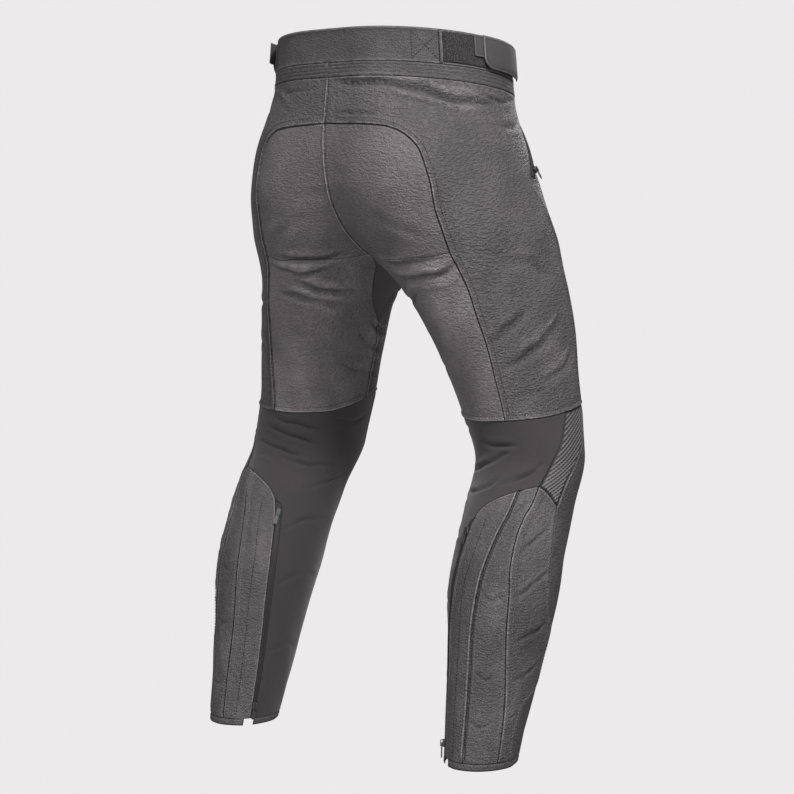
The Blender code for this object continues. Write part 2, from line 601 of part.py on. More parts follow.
def add_waist(collection):
    """The waistband, the ridged band under it and what closes and adjusts them."""
    side_turn = 0.50
    back_band, front_band = {}, {}
    for side in (1, -1):
        back = 1 - plane_turn(BAND_Z)
        top_back = 1 - plane_turn(WAIST_Z)
        front, top_front = plane_turn(BAND_Z), plane_turn(WAIST_Z)
        back_band[side] = join(level(side_turn, top_back, WAIST_Z), middle(WAIST_Z, BAND_Z, True),
                               level(back, side_turn, BAND_Z))
        front_band[side] = join(level(top_front, side_turn, WAIST_Z), level(side_turn, front, BAND_Z),
                                middle(BAND_Z, WAIST_Z, False))
    crossing_cloth("waistband_back", back_band, LEATHER, "side_leather", collection)
    for side, word in ((1, "left"), (-1, "right")):
        cloth(f"waistband_front_{word}", side, front_band[side], LEATHER, "side_leather", collection)
        upper = level(plane_turn(BAND_Z), side_turn, BAND_Z)
        upper += level(side_turn, 1 - plane_turn(BAND_Z), BAND_Z)
        lower = level(1 - plane_turn(RIDGE_Z), POCKET_SEAM[0][0], RIDGE_Z)
        lower += level(POCKET_SEAM[0][0], POCKET_MOUTH[0][0], RIDGE_Z)
        lower += level(POCKET_MOUTH[0][0], plane_turn(RIDGE_Z), RIDGE_Z)
        cloth(f"ridged_band_{word}", side, join(upper, middle(BAND_Z, RIDGE_Z, True), lower,
                                                middle(RIDGE_Z, BAND_Z, False)),
              LEATHER, "dark_leather", collection)
        add_adjuster(side, word, collection)
    add_closure(collection)


def add_adjuster(side, word, collection):
    """The hook-and-loop patch on the waistband and the flap that presses onto it.

    The left flap is pulled further back than the right one.
    """
    pulled = ADJUSTER_PULL if side > 0 else 0.0
    patch = rectangle(0.520, 0.598, -0.004, -0.041)
    cloth(f"hook_patch_{word}", side, patch, PATCH, "hook_patch", collection,
          lift=LAY_GAP + PATCH, spacing=LAY_STEP)
    flap_lift = 2 * LAY_GAP + PATCH + FLAP
    top, low, step, round_z = -0.0015, -0.0420, -0.0290, -0.0350
    front, end = 0.395, 0.545 + pulled
    rounding = [(0.526 + pulled, round_z), (0.520 + pulled, -0.0395), (0.511 + pulled, low)]
    outline = join(level(front, end, top, LAY_STEP), [(end, -0.011), (end, -0.020), (end, step)],
                   level(end, 0.528 + pulled, step, LAY_STEP), rounding,
                   level(rounding[-1][0], front, low, LAY_STEP),
                   [(front, -0.032), (front, -0.022), (front, -0.011)])
    cloth(f"adjuster_flap_{word}", side, outline, FLAP, "dark_leather", collection,
          lift=flap_lift, spacing=LAY_STEP)


def add_closure(collection):
    """The tab and snap that close the waistband in front, and the flap over the fly."""
    outlines = {}
    for side, reach in ((1, 0.052), (-1, 0.030)):
        z0, z1 = -0.006, -0.038
        end = plane_turn(z0) + reach
        outlines[side] = join(middle(z1, z0, False, LAY_STEP), level(plane_turn(z0), end, z0, LAY_STEP),
                              [(end, -0.014), (end, -0.022), (end, -0.030)],
                              level(end, plane_turn(z1), z1, LAY_STEP))
    crossing_cloth("closure_tab", outlines, LEATHER, "dark_leather", collection,
                   lift=LAY_GAP + LEATHER, spacing=LAY_STEP)
    z0, z1, width = -0.0660, -0.2050, 0.060
    far = [(plane_turn(z) + width * min(1.0, (z - z1) / 0.035 + 0.25), z)
           for z in [z1 + (z0 - z1) * i / 12 for i in range(13)]]
    near = [(plane_turn(z) + 0.004, z) for z in [z0 + (z1 - z0) * i / 12 for i in range(13)]]
    cloth("fly_flap", 1, join(near, far), LEATHER, "side_leather", collection,
          lift=2 * LAY_GAP + LEATHER, spacing=LAY_STEP)
    lift = LAY_GAP + LEATHER + SEAM_GAP + SNAP_HEIGHT / 2
    seat = place_frame(-1, plane_turn(SNAP_Z) + SNAP_TURN, SNAP_Z, lift)
    bpy.ops.mesh.primitive_cylinder_add(vertices=24, radius=SNAP_RADIUS, depth=SNAP_HEIGHT)
    snap = bpy.context.active_object
    snap.name = "waist_snap"
    snap.matrix_world = seat
    snap.data.name = "waist_snap"
    snap.data.materials.append(material("gunmetal"))
    bevel = snap.modifiers.new("rounded rim", "BEVEL")
    bevel.width = 0.0008
    bevel.segments = 2
    snap.data.shade_smooth()
    snap.data.set_sharp_from_angle(angle=math.radians(40))
    move_to(snap, collection)


def place_frame(side, turn, z, lift, lean=0.0):
    """A frame on the cloth: X across, Y up along the cloth (turned by lean) and Z outward."""
    out = body_normal(side, turn, z)
    up = body_point(side, turn, z + 0.004) - body_point(side, turn, z - 0.004)
    up = (up - out * up.dot(out)).normalized()
    up = Matrix.Rotation(lean, 3, out) @ up
    across = up.cross(out)
    origin = skin(side, turn, z, lift)
    return Matrix.Translation(origin) @ Matrix((across, up, out)).transposed().to_4x4()


def move_to(item, collection):
    for owner in item.users_collection:
        owner.objects.unlink(item)
    collection.objects.link(item)


def box(name, size, centre, collection):
    """A plain box object with its scale applied."""
    mesh = bmesh.new()
    bmesh.ops.create_cube(mesh, size=1.0)
    bmesh.ops.scale(mesh, vec=size, verts=mesh.verts)
    bmesh.ops.translate(mesh, vec=centre, verts=mesh.verts)
    data = bpy.data.meshes.new(name)
    mesh.to_mesh(data)
    mesh.free()
    made = bpy.data.objects.new(name, data)
    made.display_type = "WIRE"
    made.hide_render = True
    collection.objects.link(made)
    return made


def carved(name, base, steps, bevel_width):
    """The mesh of a box after rounding and after booleans, each a kind and a box."""
    rounded = base.modifiers.new("rounded edges", "BEVEL")
    rounded.width = bevel_width
    rounded.segments = 1
    for kind, cutter in steps:
        cut = base.modifiers.new(kind.lower(), "BOOLEAN")
        cut.operation = kind
        cut.object = cutter
    bpy.context.view_layer.update()
    graph = bpy.context.evaluated_depsgraph_get()
    data = bpy.data.meshes.new_from_object(base.evaluated_get(graph))
    data.name = name
    for item in [base] + [cutter for _, cutter in steps]:
        bpy.data.objects.remove(item)
    return data


def slider_mesh(cutters):
    """A zip slider: a body with a bridge along it, over a window for the pull tab."""
    body = box("slider_body", (SLIDER.width, SLIDER.length, SLIDER.height), (0, 0, SLIDER.height / 2), cutters)
    sunk = 0.0006
    bridge = box("bridge", (BRIDGE.width, BRIDGE.length, BRIDGE.rise + sunk),
                 (0, 0, SLIDER.height + (BRIDGE.rise - sunk) / 2), cutters)
    window = box("window", (BRIDGE.width * 3, BRIDGE.length - 2 * BRIDGE.post, BRIDGE.window),
                 (0, 0, SLIDER.height + BRIDGE.window / 2), cutters)
    return carved("slider", body, (("UNION", bridge), ("DIFFERENCE", window)), 0.0007)


def pull_mesh(cutters):
    """A pull tab that hangs from its own crossbar, which lies on the local X axis."""
    bar = PULL.thick / 2
    plate = box("pull_plate", (PULL.width, PULL.length, PULL.thick), (0, bar - PULL.length / 2, 0), cutters)
    hole = box("pull_hole", (PULL.hole, PULL.reach - bar, PULL.thick * 3),
               (0, -bar - (PULL.reach - bar) / 2, 0), cutters)
    return carved("pull", plate, (("DIFFERENCE", hole),), 0.0003)


def add_zips(collection, cutters):
    """The pocket zips, and the sliders and pull tabs of all the zips."""
    slider, pull = slider_mesh(cutters), pull_mesh(cutters)
    hinge = SLIDER.height + BRIDGE.window / 2
    mouth = sample(POCKET_MOUTH, 0.014)
    for side, word in ((1, "left"), (-1, "right")):
        strip = mouth[2:-1]
        width = 0.009
        upper = [(u + width, z + 0.0012) for u, z in strip]
        lower = [(u - width, z - 0.0012) for u, z in strip]
        cloth(f"pocket_zip_{word}", side, join(upper, back_to_front(lower)), TAPE, "zip_tape", collection,
              lift=LAY_GAP + TAPE, spacing=LAY_STEP)
        places = {
            "calf_top": (CALF_FABRIC[1][0] + CALF_ZIP_TURNS / 2, TOP_SLIDER_Z, LAY_GAP, 0.0),
            "calf_low": (CALF_FABRIC[-1][0] + CALF_ZIP_TURNS / 2, LOW_SLIDER_Z, LAY_GAP, 0.0),
            "pocket": (strip[-2][0], strip[-2][1], 2 * LAY_GAP + TAPE, side * POCKET_LEAN),
        }
        for kind, (turn, z, lift, lean) in places.items():
            frame = place_frame(side, turn, z, lift, lean)
            body = add_object(f"{kind}_slider_{word}", slider, "gunmetal", collection)
            body.matrix_world = frame
            tab = add_object(f"{kind}_pull_{word}", pull, "gunmetal", collection)
            tab.matrix_world = frame @ Matrix.Translation((0, 0, hinge))


def main():
    for item in list(bpy.data.objects):
        bpy.data.objects.remove(item, do_unlink=True)
    pants = bpy.data.collections.new("riding_pants")
    cutters = bpy.data.collections.new("cutters")
    for collection in (pants, cutters):
        bpy.context.scene.collection.children.link(collection)
    add_waist(pants)
    add_panels(pants)
    add_zips(pants, cutters)


main()
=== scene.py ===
import math

import bmesh
import bpy
import numpy as np
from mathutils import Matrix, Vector
from mathutils.geometry import delaunay_2d_cdt
from mathutils.kdtree import KDTree


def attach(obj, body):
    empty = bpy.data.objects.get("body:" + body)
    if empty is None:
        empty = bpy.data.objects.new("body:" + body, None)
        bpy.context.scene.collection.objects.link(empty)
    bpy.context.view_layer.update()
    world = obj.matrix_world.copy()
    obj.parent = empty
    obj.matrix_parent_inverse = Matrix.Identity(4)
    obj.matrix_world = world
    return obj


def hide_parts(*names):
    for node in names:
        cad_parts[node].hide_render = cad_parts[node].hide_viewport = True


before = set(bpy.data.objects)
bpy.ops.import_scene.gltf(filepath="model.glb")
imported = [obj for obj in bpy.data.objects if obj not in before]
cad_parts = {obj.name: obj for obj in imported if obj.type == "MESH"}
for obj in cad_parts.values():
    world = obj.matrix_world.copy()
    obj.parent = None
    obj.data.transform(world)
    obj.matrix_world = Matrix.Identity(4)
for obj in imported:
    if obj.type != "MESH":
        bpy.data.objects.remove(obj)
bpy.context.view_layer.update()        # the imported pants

# The pants face -Y, the wearer's left leg is on +X, sizes are in metres.
# A place on the cloth is a side (+1 left, -1 right), a turn round the leg (0 inseam, 0.25 front,
# 0.5 outer side, 0.75 back) and a height.
crotchZ, hemZ = -0.302, -0.934
bandZ, ridgeZ, hemTopZ = -0.044, -0.063, -0.925
turnWidth = 0.50         # flat width of one turn in the cutting plan
seamGap = 0.00008
calfZipTurns = 0.018
ribPitch, ribSlope = 0.0045, -0.62
clothStep = 0.0037

# Half the body in thousandths: height, centre x and y, reach outward, inward, front, back,
# skew, twist
formRows = np.array((
    (0, 30, 0, 129, 250, 138, 137, 0, 0),
    (-46, 32, 0, 131, 246, 140, 139, 0, 0),
    (-68, 34, 0, 131, 243, 141, 140, 0, 4),
    (-130, 55, 0, 130, 250, 143, 149, 0, 22),
    (-200, 84, -4, 119, 210, 138, 154, 50, 32),
    (-255, 102, -10, 114, 150, 131, 146, 120, 36),
    (-302, 115, -16, 108, 115, 118, 126, 180, 28),
    (-325, 125, -21, 104, 100, 107, 117, 200, 20),
    (-360, 138, -28, 98, 88, 101, 108, 180, 14),
    (-430, 161, -42, 85, 85, 90, 93, 50, 12),
    (-500, 179, -49, 76, 80, 83, 83, -40, 17),
    (-550, 189, -47, 74, 75, 82, 76, -120, 17),
    (-620, 196, -13, 72, 72, 76, 79, -100, 18),
    (-700, 199, 21, 72, 71, 74, 80, -40, 19),
    (-820, 200, 52, 58, 57, 60, 66, 0, 19),
    (-934, 201, 83, 45, 45, 47, 51, 0, 19))) / 1000
formNames = ("cx", "cy", "out", "inn", "front", "back", "skew", "twist")


def monotoneSlopes(xs, ys):
    width = np.diff(xs)
    rise = np.diff(ys) / width
    slopes = np.concatenate((rise[:1], np.zeros(len(xs) - 2), rise[-1:]))
    for k in range(1, len(xs) - 1):
        if rise[k - 1] * rise[k] > 0:
            w1, w2 = 2 * width[k] + width[k - 1], width[k] + 2 * width[k - 1]
            slopes[k] = (w1 + w2) / (w1 / rise[k - 1] + w2 / rise[k])
    return slopes


def curveThrough(xs, ys, at):
    xs, ys = np.asarray(xs, float), np.asarray(ys, float)
    slopes = monotoneSlopes(xs, ys)
    k = np.clip(np.searchsorted(xs, at) - 1, 0, len(xs) - 2)
    width = xs[k + 1] - xs[k]
    s = (at - xs[k]) / width
    return (ys[k] * (2 * s**3 - 3 * s**2 + 1) + slopes[k] * width * (s**3 - 2 * s**2 + s)
            + ys[k + 1] * (3 * s**2 - 2 * s**3) + slopes[k + 1] * width * (s**3 - s**2))


fineDepths = np.linspace(0, -hemZ, 1869)
formColumns = {name: curveThrough(-formRows[:, 0], formRows[:, i + 1], fineDepths)
               for i, name in enumerate(formNames)}


def smoothStep(t):
    t = np.clip(t, 0.0, 1.0)
    return t * t * (3 - 2 * t)


def formAt(z):
    return {name: np.interp(-z, fineDepths, column) for name, column in formColumns.items()}


def planeTurn(z):
    row = formAt(np.asarray(z, float))
    return np.where(np.asarray(z) > crotchZ,
                    np.arccos(np.minimum(1.0, row["cx"] / row["inn"])) / (2 * math.pi), 0.0)


# Where the two halves meet above the crotch, and how the upper edge tilts
middleValley = {"depths": (0, 0.13, 0.25, -crotchZ), "radii": (0.030, 0.022, 0.012, 0.0001), "front": 0.3}
waistTilt = {"reach": 0.30, "softReach": 0.12, "soft": 0.5, "across": 0.05, "along": 0.09, "pivot": 0.136}


def bodyPoint(side, turn, z):
    turn, z = (np.asarray(v, float) for v in np.broadcast_arrays(turn, z))
    row, edge = formAt(z), planeTurn(z)
    turn = np.clip(np.mod(turn, 1.0), edge, 1 - edge)
    bump = np.maximum(np.sin(math.pi * (turn - edge) / (1 - 2 * edge)), 0)
    below = smoothStep((crotchZ - z) / 0.08)
    angle = 2 * math.pi * (turn + side * row["twist"] * (below + (1 - below) * bump))
    c, s = np.cos(angle), np.sin(angle)
    x = np.maximum(row["cx"] - np.where(c > 0, row["inn"], row["out"]) * c, 0)
    reach = np.where(s > 0, row["front"], row["back"])
    y = row["cy"] - reach * s
    # the two halves meet in a rounded valley, not in a crease
    cosEdge = np.minimum(row["cx"] / row["inn"], 0.97)
    radius = np.interp(-z, middleValley["depths"], middleValley["radii"])
    radius = np.where(s > 0, radius * middleValley["front"], radius)
    valley = reach * cosEdge / (row["inn"] * np.sqrt(1 - cosEdge**2)) * radius * np.exp(-x / radius)
    y = y - np.sign(s) * np.where(z > crotchZ, valley, 0)
    x = x - row["skew"] * (y - row["cy"]) * x / (row["cx"] + row["out"])
    tilt = (np.maximum(0.0, 1 + z / waistTilt["reach"])
            - waistTilt["soft"] * np.maximum(0.0, 1 + z / waistTilt["softReach"]))
    lift = tilt * (waistTilt["across"] * side * x + waistTilt["along"] * (y - waistTilt["pivot"]))
    return np.stack((side * np.maximum(x, 0), y, z + lift), -1)


def unit(v):
    return v / np.maximum(np.linalg.norm(v, axis=-1, keepdims=True), 1e-12)


def bodyNormal(side, turn, z):
    turn, z = (np.asarray(v, float) for v in np.broadcast_arrays(turn, z))
    turn, edge, step = np.mod(turn, 1.0), planeTurn(z), 0.004
    held = edge > 0
    u0 = np.where(held, np.maximum(turn - step, edge), turn - step)
    u1 = np.where(held, np.minimum(turn + step, 1 - edge), turn + step)
    z0, z1 = np.maximum(z - step, hemZ), np.minimum(z + step, 0)
    low = planeTurn(z0)
    inside = np.where(held, np.clip(turn, step + low, 1 - step - low), turn)
    across = bodyPoint(side, u1, z) - bodyPoint(side, u0, z)
    down = bodyPoint(side, inside, z0) - bodyPoint(side, inside, z1)
    return unit(np.cross(down, across) * side)


# The cutting plan of each side: the length of cloth from the outer side line to a turn
planHeights = np.linspace(0, hemZ, 236)
planTurns = np.linspace(-0.25, 1.85, 1261)
planTables = {}
for legSide in (1, -1):
    levels = bodyPoint(legSide, planTurns[None, :], planHeights[:, None])
    stretch = np.linalg.norm(np.diff(levels, axis=1), axis=2) + 2e-5
    table = np.concatenate((np.zeros((len(planHeights), 1)), np.cumsum(stretch, axis=1)), 1)
    middleColumn = np.array([np.interp(0.5, planTurns, row) for row in table])
    planTables[legSide] = table - middleColumn[:, None]


def toPlan(side, turn, z):
    table = planTables[side]
    fz = np.clip(z / hemZ * (len(planHeights) - 1), 0, len(planHeights) - 1.0001)
    fu = np.clip((turn - planTurns[0]) / (planTurns[1] - planTurns[0]), 0, len(planTurns) - 1.0001)
    i, j = fz.astype(int), fu.astype(int)
    a, b = fz - i, fu - j
    return ((1 - a) * ((1 - b) * table[i, j] + b * table[i, j + 1])
            + a * ((1 - b) * table[i + 1, j] + b * table[i + 1, j + 1]))


def fromPlan(side, x, z):
    low, high = np.full(len(x), planTurns[0]), np.full(len(x), planTurns[-1])
    for _ in range(26):
        mid = (low + high) / 2
        short = toPlan(side, mid, z) < x
        low, high = np.where(short, mid, low), np.where(short, high, mid)
    return (low + high) / 2


def placesOf(numbers, fineness):
    # whole numbers, turn after depth below the waist, as places of turn and height
    return tuple((turn / 1000, -depth / fineness) for turn, depth in zip(numbers[::2], numbers[1::2]))


# Folds: side (0 both), half width, depth (below 0 a trough, above a ridge) in tenths of a
# millimetre, then turn and millimetres below the waist of each place
foldRows = (
    # waist and yoke
    (-1, 92, -43, (790, 71, 700, 72, 640, 78, 590, 88, 490, 80)),
    (-1, 58, 24, (690, 78, 620, 94, 560, 100)),
    (-1, 50, -26, (560, 74, 500, 79, 440, 70)),
    (-1, 60, -20, (776, 110, 712, 113)),
    (-1, 70, 9, (725, 98, 655, 104)),
    (-1, 80, -16, (560, 118, 480, 108, 420, 88)),
    (1, 65, 16, (612, 62, 668, 74, 735, 104)),
    (1, 70, -14, (570, 70, 620, 94, 660, 118)),
    (1, 60, -13, (640, 70, 720, 79, 790, 76)),
    (0, 80, -16, (180, 88, 255, 96, 330, 86)),
    (1, 80, -15, (430, 82, 480, 100, 545, 98)),
    # seat, soft
    (0, 120, -12, (800, 236, 735, 262, 700, 272)),
    (1, 150, -10, (860, 200, 800, 214, 760, 216)),
    (-1, 150, -9, (840, 176, 780, 190)),
    # under the seat
    (1, 70, -38, (715, 291, 800, 296, 880, 286)),
    (1, 70, -48, (686, 303, 788, 315, 850, 304)),
    (1, 80, -48, (760, 322, 860, 338, 914, 335)),
    (1, 85, -36, (700, 334, 790, 346, 905, 357)),
    (1, 60, 15, (705, 320, 745, 327)),
    (-1, 70, -46, (830, 324, 714, 317, 664, 300)),
    (-1, 75, -30, (690, 296, 800, 303, 895, 296)),
    (-1, 85, -28, (775, 338, 860, 350, 930, 346)),
    (-1, 60, 12, (700, 330, 770, 333)),
    # outer thigh and hip
    (-1, 80, -32, (690, 406, 630, 385, 560, 356)),
    (-1, 85, -36, (690, 440, 590, 412, 490, 370)),
    (-1, 42, 26, (538, 383, 505, 365)),
    (-1, 80, -26, (600, 456, 520, 436, 452, 405)),
    (-1, 120, -12, (640, 286, 560, 300, 480, 318)),
    (-1, 70, -12, (650, 470, 580, 462)),
    (1, 90, -19, (660, 372, 600, 352, 540, 350)),
    (1, 85, -20, (672, 420, 580, 398, 490, 372)),
    (1, 80, -17, (600, 452, 520, 440, 460, 416)),
    (1, 120, -12, (560, 250, 500, 270, 440, 296)),
    # front: hip crease, lap and thigh
    (0, 100, -36, (90, 262, 170, 236, 290, 196, 370, 170)),
    (0, 85, -30, (80, 284, 170, 268, 260, 240)),
    (1, 80, -26, (60, 306, 150, 306, 235, 284)),
    (-1, 80, -26, (75, 300, 140, 296, 220, 266)),
    (0, 90, -18, (140, 222, 205, 206, 270, 176)),
    (0, 85, -22, (50, 330, 130, 340, 190, 326)),
    (1, 100, -16, (300, 330, 360, 352, 410, 352)),
    (-1, 100, -16, (280, 350, 350, 372, 400, 366)),
    (0, 100, -15, (110, 420, 200, 438, 280, 430)),
    (0, 80, -14, (260, 452, 340, 462, 410, 450)),
    # inner thigh, from the crotch down
    (0, 75, -26, (965, 372, 1010, 392, 1060, 398)),
    (1, 80, -22, (930, 388, 985, 412, 1050, 424)),
    (-1, 80, -22, (900, 376, 965, 404, 1035, 418)),
    (0, 85, -18, (880, 430, 960, 448, 1040, 452)),
    # behind the knee
    (1, 60, -26, (730, 514, 800, 522, 872, 531)),
    (1, 60, -28, (705, 524, 800, 540, 880, 552)),
    (1, 55, -24, (680, 548, 780, 560, 880, 574)),
    (1, 60, -24, (772, 568, 880, 580, 983, 583)),
    (1, 45, 14, (700, 568, 760, 578)),
    (-1, 60, -26, (839, 531, 770, 536, 709, 534)),
    (-1, 60, -24, (761, 584, 700, 574, 642, 556)),
    (-1, 60, -28, (931, 574, 830, 562, 739, 543)),
    (-1, 50, -20, (900, 598, 820, 592, 760, 574)),
    (0, 65, -20, (900, 515, 970, 520, 1050, 510)),
    (0, 60, -20, (900, 612, 960, 604, 1030, 592)),
    (0, 70, -16, (860, 668, 930, 654, 1040, 660)),
    (0, 80, -14, (880, 742, 950, 730, 1060, 738)),
    (0, 80, -14, (890, 838, 960, 828, 1070, 836)),
    # front of the knee and the shin
    (0, 70, -16, (130, 506, 240, 514, 370, 504)),
    (0, 80, -14, (150, 590, 250, 604, 380, 596)),
    (1, 90, -12, (180, 690, 290, 702, 370, 694)),
    (-1, 90, -12, (150, 720, 240, 728, 330, 716)),
    (0, 85, -18, (140, 828, 240, 842, 350, 834)),
    (0, 75, -16, (190, 872, 300, 880, 400, 868)),
    # outer calf
    (-1, 55, -18, (718, 626, 690, 613, 655, 602)),
    (-1, 60, -22, (660, 668, 625, 652, 590, 638)),
    (-1, 65, -22, (650, 722, 600, 706, 548, 688)),
    (-1, 70, -20, (620, 774, 570, 768, 505, 756)),
    (-1, 65, -18, (610, 826, 550, 818, 480, 800)),
    (-1, 50, -12, (590, 872, 560, 866)),
    (1, 60, -20, (655, 660, 620, 640, 588, 628)),
    (1, 65, -20, (648, 706, 600, 696, 556, 672)),
    (1, 70, -20, (640, 760, 580, 752, 520, 736)),
    (1, 65, -18, (616, 816, 560, 806, 490, 796)),
    # back of the calf
    (0, 60, -12, (745, 712, 705, 722, 672, 716)),
    (-1, 60, -14, (738, 810, 690, 822, 655, 815)),
    (1, 60, -13, (742, 790, 700, 798, 664, 790)),
    (0, 55, -12, (740, 872, 690, 880, 640, 872)),
)


def lengthsAlong(line):
    return np.concatenate(([0], np.cumsum(np.hypot(*np.diff(line, axis=0).T))))


foldScale = {"width": 0.78, "depth": 1.25, "middle": 0.018, "step": 0.0045, "sway": 0.12}
foldLines = []


def layFolds():
    # smooth, slightly swaying lines through the places of each fold
    for n, (foldSide, width, depth, numbers) in enumerate(foldRows):
        width, depth = width / 10000 * foldScale["width"], depth / 10000 * foldScale["depth"]
        line = sampleSeam(placesOf(numbers, 1000), foldScale["step"]) * (turnWidth, 1)
        way = unit(np.gradient(line, axis=0))
        off = np.stack((-way[:, 1], way[:, 0]), 1) * np.sign(way[:, :1])
        sway = foldScale["sway"] * width * np.sin(np.arange(len(line)) * 0.8 + 2.3 * n)
        line = line + off * sway[:, None]
        foldLines.append((foldSide, line, off, width, depth, n))


def foldRowsBeside(side):
    # places along and beside each fold, where the cloth needs finer faces
    found = []
    for foldSide, line, off, width, *_ in foldLines:
        if foldSide in (0, side):
            found += [line + off * across * width for across in (0.0, 0.35, -0.35, 0.8, -0.8, 1.4, -1.4)]
    return np.concatenate(found) / (turnWidth, 1)


# Across a fold: its own trough, then the swell on each side of it, as height, place and width
foldShape = {"trough": 0.55, "swells": ((0.46, 1.25, 0.8), (0.26, -1.15, 0.7)), "taper": 0.7}


def foldHeight(side, turn, z):
    total = np.zeros(len(z))
    wrapped = np.mod(turn, 1.0)
    for foldSide, line, off, width, depth, n in foldLines:
        if foldSide not in (0, side):
            continue
        lengths = lengthsAlong(line)
        for turns in (0, 1):
            at = np.stack(((wrapped + turns) * turnWidth, z), 1)
            low, high = line.min(0) - 3 * width, line.max(0) + 3 * width
            near = np.flatnonzero(np.all((at > low) & (at < high), axis=1))
            if not len(near):
                continue
            best, across, along = np.full(len(near), 9.0), np.zeros(len(near)), np.zeros(len(near))
            for k, piece in enumerate(np.diff(line, axis=0)):
                away = at[near] - line[k]
                t = np.clip(away @ piece / (piece @ piece), 0, 1)
                rest = away - t[:, None] * piece
                gap = np.hypot(*rest.T)
                closer = gap < best
                best = np.where(closer, gap, best)
                across = np.where(closer, gap * np.sign(away @ off[k]) / width, across)
                done = (lengths[k] + t * (lengths[k + 1] - lengths[k])) / lengths[-1]
                along = np.where(closer, done, along)
            taper = np.sin(math.pi * np.clip(along, 0, 1)) ** foldShape["taper"]
            taper *= 0.82 + 0.18 * np.sin(along * 11 + 1.7 * n)
            shape = np.exp(-(across / foldShape["trough"])**2)
            for swell, place, wide in foldShape["swells"]:
                shape -= swell * np.exp(-((across - place) / wide)**2)
            total[near] += depth * taper * shape
    # the creases fade out beside the middle seams
    edge = planeTurn(z)
    beside = np.minimum(wrapped - edge, 1 - edge - wrapped) / foldScale["middle"]
    return total * np.where(z > crotchZ, smoothStep(np.clip(beside, 0, 1)), 1.0)


# Slow, uneven waves of the filled-out cloth: waves round the leg, rise, phase, size
billowWaves = ((3, 31, 0.4, 0.0005), (5, -23, 2.1, 0.0004), (8, 57, 4.4, 0.0003), (11, 83, 1.3, 0.0002))


def billow(side, turn, z):
    edge = planeTurn(z)
    t = np.mod(turn, 1.0)
    bump = np.maximum(np.sin(math.pi * (np.clip(t, edge, 1 - edge) - edge) / (1 - 2 * edge)), 0)
    waves = np.zeros(len(z))
    for cycles, rise, phase, size in billowWaves:
        waves += size * np.sin(2 * math.pi * cycles * t + rise * z + phase + 1.7 * side)
    waves *= 0.3 + 0.7 * smoothStep(-z / 0.05 - 1)      # the waistband lies flatter
    return waves * np.where(z > crotchZ, bump, 1.0)


# Seams, from the waist down: turn, then tenths of a millimetre below the waist. 630 is the lower
# line of the ridged band and 9250 the upper line of the hem binding.
seamNumbers = {
    "seatUpper": (745, 1250, 712, 1275, 686, 1380, 673, 1610, 672, 1950, 679, 2430, 678, 2890),
    "seatLower": (678, 2890, 671, 3310, 683, 3850, 700, 4280, 714, 4630, 727, 5035),
    "underSeat": (678, 2890, 720, 2950, 800, 2965, 880, 2920, 925, 2860),
    "kneeBackOuter": (550, 4930, 600, 4975, 660, 5010, 727, 5035),
    "kneeBackInner": (727, 5035, 800, 5055, 880, 5040, 960, 4930, 1000, 4860),
    "kneeInside": (0, 4860, 40, 4800, 80, 4780),
    "kneeFront": (80, 4780, 180, 4800, 300, 4830, 440, 4850),
    "kneeSide": (440, 4850, 500, 4890, 550, 4930),
    "pocketSeam": (570, 630, 556, 770, 538, 1050, 524, 1380, 508, 1700, 493, 1900),
    "pocketMouth": (340, 630, 375, 900, 420, 1260, 460, 1600, 493, 1900),
    "outerSeam": (493, 1900, 455, 2400, 430, 3000, 420, 3700, 425, 4300, 440, 4850),
    "gussetBack": (925, 2860, 945, 3150, 965, 3450, 1000, 3800),
    "gussetFront": (0, 3800, 35, 3450, 55, 3150, 75, 2860),
    "inseam": (0, 3800, 0, 4200, 0, 4550, 0, 4860),
    "ribBack": (550, 4930, 585, 5290, 624, 5570, 649, 5850),
    "ribLow": (649, 5850, 614, 5950, 574, 6110),
    "ribFront": (440, 4850, 458, 5100, 480, 5320, 524, 5560, 560, 5820, 574, 6110),
    "archOuter": (649, 5850, 705, 5900),
    "archInner": (705, 5900, 757, 6010, 792, 6120, 814, 6240),
    "calfFabric": (814, 6240, 828, 6430, 841, 6740, 850, 7100, 857, 7700, 865, 8200, 873, 8750, 878, 9250),
    "stripOuter": (705, 5900, 711, 6130, 728, 6390, 739, 6650, 748, 6950, 753, 7300, 755, 7700, 753, 8200,
        751, 8750, 748, 9250),
    "calfSeam": (649, 5850, 654, 6060, 669, 6250, 676, 6510, 674, 6765, 660, 7210, 654, 7510, 640, 7935,
        618, 8474, 600, 9250),
    "shinSeam": (574, 6110, 568, 6400, 556, 6700, 543, 7050, 515, 7400, 450, 7700, 415, 8020, 428, 8300,
        480, 8460, 535, 8600, 542, 8850, 530, 9250),
    "shinInside": (80, 4780, 92, 5300, 100, 6000, 104, 7000, 108, 8000, 112, 9250),
}
seams = {name: placesOf(numbers, 10000) for name, numbers in seamNumbers.items()}
outlineStep = 0.0036


def sampleSeam(places, spacing=outlineStep):
    flat = np.array(places) * (turnWidth, 1)
    lengths = lengthsAlong(flat)
    count = max(2, round(lengths[-1] / spacing))
    at = lengths[-1] * np.arange(count + 1) / count
    found = np.stack([curveThrough(lengths, flat[:, i], at) for i in (0, 1)], 1)
    return found / (turnWidth, 1)


layFolds()


def levelRun(u0, u1, z, spacing=outlineStep):
    count = max(1, round(abs(u1 - u0) * turnWidth * 1.6 / spacing))
    turns = u0 + (u1 - u0) * np.arange(count + 1) / count
    return np.stack((turns, np.full(count + 1, z)), 1)


def middleRun(z0, z1, back, spacing=outlineStep):
    count = max(1, round(abs(z1 - z0) / spacing))
    heights = z0 + (z1 - z0) * np.arange(count + 1) / count
    edge = planeTurn(heights)
    return np.stack((1 - edge if back else edge, heights), 1)


